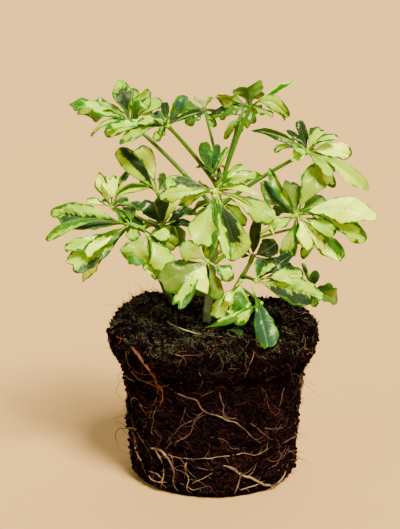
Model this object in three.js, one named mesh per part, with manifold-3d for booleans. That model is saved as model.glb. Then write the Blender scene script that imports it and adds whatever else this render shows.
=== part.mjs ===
// A young variegated umbrella plant, lifted out of its pot, with its bare root ball.
// Millimetres, +Z up, seen from the front along +Y. The origin is the middle of the ball's flat foot.

import * as THREE from 'three';
import { mergeVertices } from 'three/addons/utils/BufferGeometryUtils.js';
import Module from 'manifold-3d';

const wasm = await Module();
wasm.setup();

// ---- Driving dimensions ----

// The ball keeps the form of a 12 cm nursery pot: radius and height of each ring from foot to top.
const ballHeight = 92;
const ballRings = [
  [44, 0], [47, 4], [48.5, 20], [50, 40], [51.5, 61], [53.5, 69], [58, 74], [59.5, 81],
  [58.5, 88], [54, ballHeight], [42, ballHeight], [28, ballHeight], [13, ballHeight],
];
const ballSides = 30;
const ballRelief = 1.0;      // how far crumbs and hollows stand out of the side
const reliefStart = 10;      // height over the flat foot at which that relief is at its full
// Waves of the side: how many go round the ball, radians per millimetre of height, phase.
const sideWaves = [[5, 0.11, 0], [9, -0.17, 2], [14, 0.25, 4]];
const topRipple = { height: 0.4, acrossX: 4.5, acrossY: 5.5 };
const clearance = 0.3;       // gap between pieces that touch
const stemFoot = 35;         // how deep the stems stand in the soil
const bladeThickness = 0.8;
const hubRadius = 2.1;
const stemSides = 7;
const stemSteps = 8;
const petioleSides = 5;
const petioleSteps = 4;
const rootSides = 3;
const rootLift = 1.5;        // how far the roots' centre lines lie off the ball's side

// Mossy humps on the ball's top: x, y, height, spread.
const humps = [
  [-38, 20, 7, 13],
  [-14, 36, 2.5, 14],
  [42, 20, 5, 11],
  [44, -10, 1.5, 10],
  [-30, -28, 1.5, 14],
];

// Stems: points along each from its foot upwards, with the radius at the foot and at the top.
const stems = {
  main: {
    points: [[-5, -6, ballHeight - stemFoot], [-4, -7, ballHeight], [-2, -6, 110], [0, -5, 127],
      [1, -4, 145], [2, -3, 162], [3.5, -2, 177]],
    radii: [2.9, 1.7],
  },
  branch: {
    points: [[-3, -7, 98], [8, -5, 105], [15.5, -8, 117.5], [20, -9, 126], [21.5, -9, 129]],
    radii: [1.6, 1.1],
  },
  left: {
    points: [[-20, 19, ballHeight - stemFoot], [-22, 17, ballHeight], [-29, 12, 108],
      [-32, 7, 118], [-33, 1, 131], [-31, -4, 144], [-25.5, -7, 155]],
    radii: [1.8, 1.1],
  },
  edge: {
    points: [[44, 8, ballHeight - stemFoot], [49, 10, ballHeight], [53, 14, 98], [56, 17, 102]],
    radii: [1.2, 0.9],
  },
};

// Compound leaves. Each grows from a stem at a height, ends in a hub, and faces one way.
// A leaflet is its bearing as seen from the front (0 right, 90 up), its lean towards the viewer,
// its length and its width, and where they differ its arch, its roll about its rib and its tip:
// how far the tip's middle stands before its corners, below 0 where the tip is notched.
const leaves = {
  upper_left: {
    from: ['main', 156], hub: [-46.5, 5, 204.4], facing: [-0.2, -0.5, 0.9], petiole: 1.0,
    leaflets: [
      [165, 5, 38, 10], [172, -15, 34, 8], [190, 15, 25, 9, 0.14], [180, 35, 18, 6],
      [105, -5, 25, 11, 0, 60], [85, -25, 21, 8, 0, 50], [60, -15, 22, 9, 0, 50],
      [40, -20, 23, 8, 0, 30], [50, 35, 14, 10, 0.12, 40], [75, 5, 16, 4],
    ],
  },
  upper_middle: {
    from: ['main', 169], hub: [-27.6, -8, 201.5], facing: [-0.2, -0.6, 0.8], petiole: 1.0,
    leaflets: [
      [185, 5, 34, 8], [196, -10, 36, 7], [203, 25, 27, 10, 0.1], [160, 10, 15, 7],
      [120, 40, 11, 6], [225, 50, 11, 7], [90, 0, 14, 5, 0, 40], [55, 0, 23, 9, 0, 40],
      [30, 5, 26, 5], [20, 50, 11, 6],
    ],
  },
  tall_left: {
    from: ['left', 151], hub: [-31.9, 5, 164.5], facing: [0.1, -1, 0.1], petiole: 0.9,
    leaflets: [[132, 5, 32, 9], [108, -10, 30, 12], [150, -50, 20, 8], [60, -60, 18, 8]],
  },
  far_left: {
    from: ['left', 146], hub: [-57.2, -5, 158.2], facing: [-0.3, -0.7, 0.6], petiole: 0.9,
    leaflets: [
      [155, 0, 14, 7], [112, 0, 20, 8, 0, 30], [90, -15, 17, 8, 0, 30], [70, -35, 28, 4],
      [40, 5, 24, 8, 0.16], [10, -10, 18, 8], [-40, 0, 22, 9],
    ],
  },
  lower_left: {
    from: ['left', 139], hub: [-46.1, -15, 149.9], facing: [-0.2, -0.75, 0.6], petiole: 1.0,
    leaflets: [
      [167, 10, 46, 15], [187, 25, 50, 10, 0.1], [200, 5, 36, 9], [210, 30, 30, 9],
      [217, 10, 43, 16, 0.06, 0, -0.1], [236, -5, 42, 9], [229, -20, 34, 6], [285, 50, 11, 7],
    ],
  },
  left_tip: {
    from: ['left', 153], hub: [-29, -11, 148.5], facing: [0, -1, 0.3], petiole: 0.9,
    leaflets: [[100, 15, 18, 11, 0.06, 0, -0.12], [30, 0, 17, 5], [5, -10, 15, 5],
      [75, -15, 18, 4], [60, 5, 19, 4]],
  },
  front_left: {
    from: ['left', 131], hub: [-36.8, -28, 146.8], facing: [0, -0.85, 0.5], petiole: 0.9,
    leaflets: [
      [235, 15, 16, 11], [252, -5, 19, 9], [290, 0, 24, 7], [312, 10, 22, 12],
      [0, 5, 13, 7], [-20, -25, 18, 8],
    ],
  },
  front: {
    from: ['main', 150], hub: [0.5, -28, 171.2], facing: [0, -0.9, 0.45], petiole: 1.2,
    leaflets: [
      [183, 5, 30, 9], [205, 0, 21, 7], [248, 15, 33, 15], [265, 5, 33, 5], [280, 10, 38, 8],
      [297, 0, 37, 16], [335, 10, 36, 15], [318, -15, 36, 4], [18, 0, 28, 10, 0.14],
      [3, -15, 25, 4], [50, -5, 21, 8], [161, 5, 27, 9],
    ],
  },
  crown: {
    from: ['main', 175], hub: [-0.5, -11, 177], facing: [0, -0.95, 0.2], petiole: 0.9,
    leaflets: [[110, 0, 20, 7], [85, -5, 20, 6], [97, -25, 15, 6], [65, 0, 19, 5]],
  },
  back_left: {
    from: ['main', 176], hub: [-5.3, 45, 207.9], facing: [0, 0.3, 0.9], petiole: 0.9,
    leaflets: [
      [225, 25, 13, 8], [300, 25, 13, 7], [60, 0, 9, 3], [180, 0, 13, 7], [200, -50, 17, 8],
      [330, -55, 17, 8], [110, -70, 18, 8],
    ],
  },
  back_right: {
    from: ['main', 161], hub: [16.4, 40, 204.9], facing: [0, 0.3, 0.9], petiole: 0.9,
    leaflets: [
      [228, 10, 14, 6], [255, 30, 11, 6], [175, 15, 14, 7], [20, -40, 16, 8], [60, -65, 18, 8],
      [300, -50, 15, 8],
    ],
  },
  top_right: {
    from: ['main', 165], hub: [20.3, 5, 213.4], facing: [0, 0.1, 1], petiole: 1.4,
    leaflets: [
      [90, 45, 21, 14], [150, 10, 19, 8, 0, -30], [167, -10, 20, 4], [30, 0, 29, 5],
      [-15, 5, 20, 8, 0.25], [-32, 20, 13, 5], [280, 40, 12, 6], [185, 5, 21, 6],
      [45, -55, 24, 10], [130, -60, 22, 9],
    ],
  },
  upper_right: {
    from: ['main', 157], hub: [52.5, -5, 189.4], facing: [0.3, -0.6, 0.8], petiole: 1.1,
    leaflets: [
      [156, 0, 33, 6], [110, -10, 18, 6, 0, 40], [132, -25, 19, 3], [177, 10, 19, 7],
      [155, 40, 12, 6], [205, 35, 11, 6], [60, -10, 19, 12, 0, 40, -0.3], [-5, 5, 24, 10],
      [-28, 10, 39, 12], [-47, 30, 21, 14, 0.06, 0, -0.15], [-52, -10, 25, 8],
    ],
  },
  right: {
    from: ['main', 126], hub: [46.3, -10, 154.6], facing: [0.15, -0.85, 0.5], petiole: 1.0,
    leaflets: [
      [2, 10, 44, 14, 0.12], [-20, -5, 41, 7], [72, 0, 31, 13], [120, 5, 33, 6],
      [141, -5, 27, 8], [108, -25, 23, 9], [90, -40, 24, 7], [-15, 30, 26, 9],
      [-46, 5, 33, 12], [-65, 25, 23, 12], [255, 5, 26, 9], [216, 0, 22, 7], [160, -30, 16, 7],
    ],
  },
  front_low: {
    from: ['main', 112], hub: [-3.9, -34, 133.5], facing: [0, -0.85, 0.5], petiole: 1.0,
    leaflets: [
      [160, 10, 16, 10], [210, 5, 28, 16], [238, 5, 32, 11, 0.06, 0, -0.15], [255, -10, 21, 10],
      [245, 30, 20, 11], [-35, 10, 17, 9], [-70, 5, 23, 9],
    ],
  },
  branch_tip: {
    from: ['branch', 127.5], hub: [22, -10, 131], facing: [0, -1, 0.25], petiole: 0.9,
    leaflets: [[85, 0, 25, 6], [28, -5, 15, 10], [140, 0, 13, 3], [178, -15, 11, 4]],
  },
  low_right: {
    from: ['branch', 119], hub: [23.5, -22, 119.5], facing: [0.1, -0.8, 0.6], petiole: 1.0,
    leaflets: [[55, 0, 14, 5], [12, 10, 25, 11], [25, -20, 23, 7], [-9, 5, 38, 13, 0.02]],
  },
  low_front: {
    from: ['branch', 113], hub: [26, -31, 109], facing: [-0.2, -0.7, 0.7], petiole: 0.9,
    leaflets: [[-74, 55, 35, 11, 0.06, 0, -0.05], [199, 15, 31, 8, 0.1]],
  },
  low_middle: {
    from: ['branch', 109], hub: [15, -24, 120], facing: [0, -0.85, 0.5], petiole: 0.9,
    leaflets: [[262, 15, 20, 11], [232, 10, 27, 12], [215, -5, 26, 6]],
  },
  rim: {
    from: ['edge', 101], hub: [57.5, 18, 104], facing: [0.3, -0.6, 0.7], petiole: 0.8,
    leaflets: [[20, 5, 13, 6], [-20, 0, 17, 9], [-75, 15, 9, 5], [85, -10, 12, 6],
      [110, 0, 18, 3]],
  },
  right_behind: {
    from: ['main', 131], hub: [61.5, 25, 142.7], facing: [0.3, 0.2, 0.9], petiole: 0.9,
    leaflets: [[65, 10, 16, 9, 0, -40], [248, 15, 23, 9], [275, 5, 19, 8], [20, -50, 20, 9],
      [150, -60, 22, 9]],
  },
  behind: {
    from: ['main', 140], hub: [4, 34, 156], facing: [0, 0.6, 0.8], petiole: 1.0,
    leaflets: [[200, -10, 22, 10], [235, -20, 24, 11], [270, -30, 24, 11], [305, -20, 24, 11],
      [340, -10, 22, 10], [150, -50, 24, 10], [60, -55, 25, 11]],
  },
  behind_left: {
    from: ['left', 124], hub: [-24, 30, 143], facing: [0, 0.6, 0.8], petiole: 0.9,
    leaflets: [[190, -25, 20, 9], [230, -30, 22, 10], [290, -35, 20, 10], [20, -20, 16, 8],
      [80, -60, 22, 9], [140, -45, 22, 9]],
  },
};

// Roots that lie on the ball, in nets that hold together. A root is its radius and its points,
// each an angle round the ball (0 front, 90 right) and a height.
const rootNets = {
  rust_left: [
    [0.9, [[-49, 87], [-43, 83], [-38, 78], [-35, 72], [-36, 66], [-33, 62]]],
    [0.7, [[-56, 72], [-49, 67], [-41, 65], [-33, 65], [-26, 68]]],
  ],
  middle: [
    [0.7, [[-27, 65], [-18, 61], [-11, 59], [-7, 53], [5, 50], [15, 45], [24, 37], [31, 32]]],
    [0.5, [[-5, 54], [-12, 48], [-15, 40], [-22, 35], [-30, 32]]],
    [0.6, [[3, 65], [5, 58], [7, 50], [17, 48], [27, 42], [34, 36], [41, 32]]],
  ],
  foot_left: [
    [1.0, [[-46, 26], [-36, 26], [-30, 21], [-27, 15], [-28, 8], [-25, 3]]],
    [0.8, [[-64, 22], [-59, 15], [-53, 9], [-44, 6], [-33, 8]]],
    [0.8, [[-42, 27], [-36, 18], [-36, 10], [-39, 3]]],
    [0.5, [[-33, 25], [-20, 24], [-8, 25], [5, 26], [17, 27], [30, 25], [42, 28]]],
  ],
  foot_right: [
    [1.0, [[6, 21], [12, 19], [19, 14], [26, 12], [36, 6], [47, 3], [56, 5], [61, 12]]],
    [0.7, [[18, 16], [16, 9], [14, 3]]],
  ],
};

// The sides and the back, which the front doesn't show, carry nets drawn by a seeded rule.
const hiddenNets = { side_right: 100, back_right: 145, back: 190, side_left: 240 };
const hiddenRoots = 3;       // roots in each of those nets
const hiddenSteps = 4;       // stretches in each of those roots
const netRule = {
  top: 62, fall: 54, sway: 14, // where the middle root starts, how far it falls and sways
  trunkRadius: 0.8, sideRadii: 0.6,
  turn: 9, back: 3,          // degrees that a side root goes on per stretch, and starts behind
  drop: [3, 4],              // least fall of a side root per stretch, and what a draw adds
};

const materials = {
  soil: new THREE.MeshStandardMaterial({ color: 0x2a1712, roughness: 0.95, metalness: 0 }),
  stem: new THREE.MeshStandardMaterial({ color: 0x6b7a3a, roughness: 0.6, metalness: 0 }),
  leaf: new THREE.MeshStandardMaterial({ color: 0xc3cf7c, roughness: 0.4, metalness: 0 }),
  root: new THREE.MeshStandardMaterial({ color: 0xb89468, roughness: 0.7, metalness: 0 }),
};

// ---- Helpers ----

const weldDistance = 1e-3;

const vector = (values) => new THREE.Vector3(...values);

// The same draw between 0 and 1 for the same number, however often it is asked.
function draw(seed) {
  const value = Math.sin(seed * 12.9898) * 43758.5453;
  return value - Math.floor(value);
}

function solidOf(positions, triangles) {
  return new wasm.Manifold(new wasm.Mesh({
    numProp: 3,
    vertProperties: Float32Array.from(positions),
    triVerts: Uint32Array.from(triangles),
  }));
}

// A solid from one of the library's own shapes, once its doubled vertices are one.
function weldedSolid(geometry) {
  geometry.deleteAttribute('normal');
  geometry.deleteAttribute('uv');
  const welded = mergeVertices(geometry, weldDistance);
  return solidOf(welded.getAttribute('position').array, welded.index.array);
}

function meshOf(name, solid, material) {
  const { vertProperties, triVerts } = solid.getMesh();
  const geometry = new THREE.BufferGeometry();
  geometry.setAttribute('position', new THREE.BufferAttribute(vertProperties, 3));
  geometry.setIndex(new THREE.BufferAttribute(triVerts, 1));
  geometry.computeVertexNormals();
  const mesh = new THREE.Mesh(geometry, material);
  mesh.name = name;
  return mesh;
}

const joined = (solids) => solids.reduce((whole, solid) => whole.add(solid));

// A round rod that follows a curve, with flat ends and a radius that runs evenly between two values.
function rod(curve, steps, sides, [startRadius, endRadius]) {
  const { normals, binormals } = curve.computeFrenetFrames(steps, false);
  const positions = [];
  const triangles = [];
  for (let ring = 0; ring <= steps; ring++) {
    const centre = curve.getPointAt(ring / steps);
    const radius = THREE.MathUtils.lerp(startRadius, endRadius, ring / steps);
    for (let side = 0; side < sides; side++) {
      const angle = (2 * Math.PI * side) / sides;
      const point = centre.clone();
      point.addScaledVector(normals[ring], radius * Math.cos(angle));
      point.addScaledVector(binormals[ring], radius * Math.sin(angle));
      positions.push(...point.toArray());
      if (ring < steps) {
        const here = ring * sides + side;
        const next = ring * sides + ((side + 1) % sides);
        triangles.push(here, next, next + sides, here, next + sides, here + sides);
      }
    }
  }
  const last = steps * sides;
  for (let side = 1; side < sides - 1; side++) {
    triangles.push(0, side + 1, side, last, last + side, last + side + 1);
  }
  return solidOf(positions, triangles);
}

// ---- Root ball ----

// How far the ball's side stands out at an angle and a height: crossing waves, none at the foot.
function sideRelief(angle, height) {
  const waves = sideWaves.reduce(
    (sum, [turns, rate, phase]) => sum + Math.sin(turns * angle + rate * height + phase), 0);
  return (ballRelief / sideWaves.length) * waves * Math.min(1, height / reliefStart);
}

// How high the ball's top stands over its level at a place: the humps and a fine ripple.
function topRelief(x, y) {
  const { height: rise, acrossX, acrossY } = topRipple;
  return humps.reduce(
    (sum, [hx, hy, height, spread]) =>
      sum + height * Math.exp(-((x - hx) ** 2 + (y - hy) ** 2) / (2 * spread ** 2)),
    rise * Math.sin(x / acrossX) * Math.cos(y / acrossY),
  );
}

// The ball's radius at a height, read between its side's rings.
function sideRadius(height) {
  const above = Math.max(1, ballRings.findIndex(([, level]) => level >= height));
  const [lowRadius, low] = ballRings[above - 1];
  const [highRadius, high] = ballRings[above];
  return THREE.MathUtils.mapLinear(height, low, high, lowRadius, highRadius);
}

function rootBall() {
  const outline = [[0, 0], ...ballRings, [0, ballHeight]];
  const lathe = new THREE.LatheGeometry(outline.map((ring) => new THREE.Vector2(...ring)), ballSides);
  lathe.rotateX(Math.PI / 2);
  const position = lathe.getAttribute('position');
  const point = new THREE.Vector3();
  for (let i = 0; i < position.count; i++) {
    point.fromBufferAttribute(position, i);
    const radius = Math.hypot(point.x, point.y);
    if (point.z > 0 && radius > 0) {
      const grown = 1 + sideRelief(Math.atan2(point.x, -point.y), point.z) / radius;
      point.x *= grown;
      point.y *= grown;
    }
    if (point.z > ballHeight - weldDistance) point.z += topRelief(point.x, point.y);
    position.setXYZ(i, point.x, point.y, point.z);
  }
  return weldedSolid(lathe);
}

// ---- Stems ----

// A stem's centre line, with its foot lowered by a little where the stem's hole is wanted.
function stemCurve(name, lowered = 0) {
  const [foot, ...rest] = stems[name].points.map(vector);
  foot.z -= lowered;
  return new THREE.CatmullRomCurve3([foot, ...rest]);
}

// A stem, or with extra room around it the space that it stands in.
function stemRod(name, extra = 0) {
  const radii = stems[name].radii.map((radius) => radius + extra);
  return rod(stemCurve(name, extra), stemSteps, stemSides, radii);
}

const halvings = 30;         // steps of the search for a height on a stem

// The point of a stem's centre line at a height. The stems climb all the way.
function stemPoint(name, height) {
  const curve = stemCurve(name);
  let low = 0;
  let high = 1;
  for (let i = 0; i < halvings; i++) {
    const middle = (low + high) / 2;
    if (curve.getPointAt(middle).z < height) low = middle;
    else high = middle;
  }
  return curve.getPointAt(low);
}

// ---- Leaves ----

// Rows of a leaflet from its root to its tip: how far along it, and its share of the half width.
const longRows = [[0, 0.1], [0.2, 0.14], [0.48, 0.8], [0.78, 1], [1, 0.48]];
const shortRows = [[0, 0.12], [0.3, 0.3], [0.75, 1], [1, 0.5]];
const shortest = 18;         // a leaflet shorter than this has the short rows
const rootShare = 0.45;      // how far from the hub's middle a leaflet starts, in hub radii
const bluntTip = 0.06;       // how far a plain tip's middle stands before its corners
const plainArch = 0.06;      // how far a plain leaflet bows over the line from hub to tip
const foldShare = 0.22;      // how far the edges rise over the rib, in half widths
const waveShare = 0.16;      // how far the edges wave, in half widths
const waveRate = 7;          // radians of that wave from root to tip
const wavePhase = 6;         // most by which one edge's wave runs ahead of another's
const narrowest = 9;         // a leaflet narrower than this has no fold

// A thin closed blade from a grid of middle points, split into triangles alike on both faces.
function blade(points, face, columns) {
  const rows = points.length / columns;
  const half = face.clone().multiplyScalar(bladeThickness / 2);
  const lower = points.map((point) => point.clone().sub(half));
  const upper = points.map((point) => point.clone().add(half));
  const positions = [...lower, ...upper].flatMap((point) => point.toArray());
  const top = points.length;
  const triangles = [];
  const quad = (a, b, c, d) => triangles.push(a, b, c, a, c, d);
  for (let row = 0; row < rows - 1; row++) {
    for (let column = 0; column < columns - 1; column++) {
      const a = row * columns + column;
      const b = a + columns;
      triangles.push(a, b, a + 1, a + 1, b, b + 1);
      triangles.push(top + a, top + a + 1, top + b, top + a + 1, top + b + 1, top + b);
    }
    const left = row * columns;
    const right = left + columns - 1;
    quad(left, top + left, top + left + columns, left + columns);
    quad(right, right + columns, top + right + columns, top + right);
  }
  const end = (rows - 1) * columns;
  for (let column = 0; column < columns - 1; column++) {
    quad(column, column + 1, top + column + 1, top + column);
    quad(end + column, top + end + column, top + end + column + 1, end + column + 1);
  }
  return solidOf(positions, triangles);
}

function leaflet(hub, facing, row, seed) {
  const [bearing, lean, length, width, arch = plainArch, roll = 0, tip = bluntTip] = row;
  const b = THREE.MathUtils.degToRad(bearing);
  const l = THREE.MathUtils.degToRad(lean);
  const along = vector([Math.cos(b) * Math.cos(l), -Math.sin(l), Math.sin(b) * Math.cos(l)]);
  const face = vector(facing).projectOnPlane(along).normalize();
  face.applyAxisAngle(along, THREE.MathUtils.degToRad(roll));
  const across = new THREE.Vector3().crossVectors(along, face);
  const columns = width < narrowest ? [-1, 1] : [-1, 0, 1];
  const rows = length < shortest ? shortRows : longRows;
  const rootAt = (rootShare * hubRadius) / length;
  const points = rows.flatMap(([share, spread], rowIndex) => columns.map((v) => {
    const back = v === 0 ? Math.max(0, -tip) : Math.max(0, tip);
    const u = rootAt + (1 - rootAt) * share - (rowIndex === rows.length - 1 ? back : 0);
    const wave = waveShare * Math.sin(waveRate * u + wavePhase * draw(seed + v));
    const rise = (width / 2) * spread * Math.abs(v) * (foldShare + wave);
    const point = hub.clone();
    point.addScaledVector(along, length * u);
    point.addScaledVector(face, length * arch * 4 * u * (1 - u) + rise);
    point.addScaledVector(across, v * spread * (width / 2));
    return point;
  }));
  return blade(points, face, columns.length);
}

const petioleBow = 0.06;     // how far a petiole's middle rises over the straight line, in lengths
const petioleTaper = [1.1, 0.9];

// The petiole leaves its stem steeply and bows over to the hub.
function petioleRod(start, hub, radius) {
  const control = start.clone().lerp(hub, 0.5);
  control.z += start.distanceTo(hub) * petioleBow;
  const curve = new THREE.QuadraticBezierCurve3(start, control, hub);
  return rod(curve, petioleSteps, petioleSides, petioleTaper.map((share) => share * radius));
}

// The knot where the leaflets meet.
function hubKnot(centre) {
  const knot = new THREE.OctahedronGeometry(hubRadius, 0);
  knot.translate(...centre.toArray());
  return weldedSolid(knot);
}

const seedsPerLeaf = 50;
const seedsPerLeaflet = 3;

function leafSolid({ from: [stem, height], hub, facing, petiole, leaflets }, seed) {
  const centre = vector(hub);
  const blades = leaflets.map((row, i) => leaflet(centre, facing, row, seed + seedsPerLeaflet * i));
  const start = stemPoint(stem, height);
  const whole = joined([petioleRod(start, centre, petiole), hubKnot(centre), ...blades]);
  return whole.subtract(stemRod(stem, clearance));
}

// ---- Roots ----

const rootTaper = 0.6;       // a root's end against its start
const stepsPerStretch = 2;

// A point of a root's centre line, just clear of the ball's side.
function rootPoint([angle, height]) {
  const a = THREE.MathUtils.degToRad(angle);
  const reach = sideRadius(height) + sideRelief(a, height) + rootLift;
  return new THREE.Vector3(reach * Math.sin(a), -reach * Math.cos(a), height);
}

function rootNet(roots) {
  return joined(roots.map(([radius, points]) => {
    const curve = new THREE.CatmullRomCurve3(points.map(rootPoint));
    const steps = stepsPerStretch * (points.length - 1);
    return rod(curve, steps, rootSides, [radius, radius * rootTaper]);
  }));
}

// Each hidden net has one root that sways on its way down, and others that leave it to either side.
function drawnNet(middle) {
  const { top, fall, sway, trunkRadius, sideRadii, turn, back, drop } = netRule;
  const trunk = Array.from({ length: hiddenSteps + 1 }, (_, i) => [
    middle + sway * (draw(middle + i) - 0.5), top - (fall * i) / hiddenSteps]);
  const sides = Array.from({ length: hiddenRoots - 1 }, (_, k) => {
    const [angle, height] = trunk[1 + 2 * k];
    const way = k % 2 ? -1 : 1;
    return Array.from({ length: hiddenSteps }, (__, i) => [
      angle + way * (turn * i - back),
      height - i * (drop[0] + drop[1] * draw(middle + 7 * k + i))]);
  });
  return [[trunkRadius, trunk], ...sides.map((points) => [sideRadii, points])];
}

// ---- The plant ----

const plant = new THREE.Group();
const holes = ['main', 'left', 'edge'].map((name) => stemRod(name, clearance));
const soil = holes.reduce((ball, hole) => ball.subtract(hole), rootBall());
plant.add(meshOf('root_ball', soil, materials.soil));
plant.add(meshOf('main_stem', stemRod('main').add(stemRod('branch')), materials.stem));
plant.add(meshOf('left_stem', stemRod('left'), materials.stem));
plant.add(meshOf('edge_shoot', stemRod('edge'), materials.stem));
Object.entries(leaves).forEach(([name, leaf], i) => {
  plant.add(meshOf(`leaf_${name}`, leafSolid(leaf, seedsPerLeaf * i), materials.leaf));
});
Object.entries(rootNets).forEach(([name, roots]) => {
  plant.add(meshOf(`roots_${name}`, rootNet(roots), materials.root));
});
Object.entries(hiddenNets).forEach(([name, middle]) => {
  plant.add(meshOf(`roots_${name}`, rootNet(drawnNet(middle)), materials.root));
});

export default plant;
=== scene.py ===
import math

import bpy
import numpy as np
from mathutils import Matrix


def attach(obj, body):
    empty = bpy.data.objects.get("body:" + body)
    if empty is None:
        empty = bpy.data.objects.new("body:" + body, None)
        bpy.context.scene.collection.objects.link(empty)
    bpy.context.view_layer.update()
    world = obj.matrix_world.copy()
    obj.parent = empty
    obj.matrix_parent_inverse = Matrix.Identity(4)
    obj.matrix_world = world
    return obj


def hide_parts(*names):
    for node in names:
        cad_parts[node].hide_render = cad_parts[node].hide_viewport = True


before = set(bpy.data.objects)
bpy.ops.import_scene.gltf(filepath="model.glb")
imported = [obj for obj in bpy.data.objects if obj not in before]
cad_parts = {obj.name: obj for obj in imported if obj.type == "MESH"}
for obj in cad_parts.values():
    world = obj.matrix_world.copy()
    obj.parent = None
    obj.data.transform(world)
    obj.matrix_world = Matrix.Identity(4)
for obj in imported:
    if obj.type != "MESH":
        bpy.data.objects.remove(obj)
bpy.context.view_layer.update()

mm = 0.001

# Camera: the place and tilt from which the plant was seen, its focal length and height in pixels.
view = {"place": (-0.0077, -0.774, 0.297), "down": 12.6, "focal": 1388, "tall": 529, "sensor": 36}
camera = bpy.data.objects.new("camera", bpy.data.cameras.new("camera"))
camera.location = view["place"]
camera.rotation_euler = (math.radians(90 - view["down"]), 0, 0)
camera.data.sensor_fit = "VERTICAL"
camera.data.sensor_height = view["sensor"]
camera.data.lens = view["focal"] * view["sensor"] / view["tall"]
bpy.context.scene.collection.objects.link(camera)
bpy.context.scene.camera = camera


# A displayed colour, 0 to 255 each, as the linear one that a shader takes, by the sRGB curve.
def tone(red, green, blue):
    shares = np.array([red, green, blue]) / 255
    linear = np.where(shares > 0.04045, ((shares + 0.055) / 1.055) ** 2.4, shares / 12.92)
    return (*linear.tolist(), 1.0)


# One draw between 0 and 1 for each number: the fraction of 43758.5453 sin(12.9898 n).
def draw(seed):
    value = np.sin(np.asarray(seed, float) * 12.9898) * 43758.5453
    return value - np.floor(value)


# Vectors over their own length.
def unit(vectors):
    vectors = np.asarray(vectors, float)
    return vectors / np.maximum(np.linalg.norm(vectors, axis=-1, keepdims=True), 1e-9)


# Rises from 0 at low to 1 at high as 3t^2 - 2t^3.
def easeStep(values, low, high):
    share = np.clip((np.asarray(values, float) - low) / (high - low), 0, 1)
    return share * share * (3 - 2 * share)


# Even angles once round.
def evenAngles(count):
    return 2 * np.pi * np.arange(count) / count


# The length along a line at each of its points: the running sum of its stretches.
def lengths(line):
    return np.concatenate([[0], np.cumsum(np.linalg.norm(np.diff(line, axis=0), axis=1))])


# Lumpy noise from -1 to 1: every corner of a grid of cubes has a draw, and a point blends the draws
# of the eight corners round it by 3t^2 - 2t^3 along each axis.
def lumps(points, size, seed):
    place = np.asarray(points) / size + 31.7 * seed
    cell = np.floor(place)
    share = place - cell
    share = share * share * (3 - 2 * share)
    total = np.zeros(place.shape[:-1])
    for corner in np.ndindex(2, 2, 2):
        weight = np.prod(np.where(corner, share, 1 - share), axis=-1)
        total += weight * draw((cell + corner) @ np.array([1.0, 7.13, 43.7]))
    return 2 * total - 1


# Lumpy noise along each of the three axes, by three seeds.
def wobble(points, size, *seeds):
    return np.stack([lumps(points, size, seed) for seed in seeds], axis=-1)


# Rings round each path: centre + radius (side cos a + top sin a), where side and top are square to
# the path and top is the one nearest to the direction up.
def tube(path, radii, sides, up=(0, 0, 1)):
    path = np.asarray(path, float)
    along = unit(np.gradient(path, axis=-2))
    side = unit(np.cross(up, along))
    top = np.cross(along, side)
    angle = evenAngles(sides)[:, None]
    spokes = side[..., None, :] * np.cos(angle) + top[..., None, :] * np.sin(angle)
    radii = np.broadcast_to(radii, path.shape[:-1])
    return path[..., None, :] + radii[..., None, None] * spokes


# A smooth line through points: on each stretch a cubic whose ends slope as the neighbours' spacing,
# taken to the power 1/2, asks (centripetal Catmull-Rom), then read at even steps of its length.
def smoothLine(points, steps, perStretch=40):
    points = np.asarray(points, float)
    padded = np.vstack([2 * points[0] - points[1], points, 2 * points[-1] - points[-2]])
    gaps = np.linalg.norm(np.diff(padded, axis=0), axis=1)[:, None] ** 0.5
    a, b, c, d = padded[:-3], padded[1:-2], padded[2:-1], padded[3:]
    before, here, after = gaps[:-2], gaps[1:-1], gaps[2:]
    startSlope = here * ((b - a) / before - (c - a) / (before + here) + (c - b) / here)
    endSlope = here * ((c - b) / here - (d - b) / (here + after) + (d - c) / after)
    share = np.linspace(0, 1, perStretch)[None, :, None]
    b, c, startSlope, endSlope = (part[:, None] for part in (b, c, startSlope, endSlope))
    line = (
        b + startSlope * share
        + (3 * (c - b) - 2 * startSlope - endSlope) * share ** 2
        + (2 * (b - c) + startSlope + endSlope) * share ** 3
    ).reshape(-1, 3)
    length = lengths(line)
    even = np.linspace(0, length[-1], steps)
    return np.stack([np.interp(even, length, line[:, axis]) for axis in range(3)], axis=-1)


# Values kept at a mesh's points that are vectors or colours; the others are single numbers.
vectorValues = ("bladeField", "bladePlace")
colourValues = ("ground", "patchTint", "rimTint")


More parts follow.
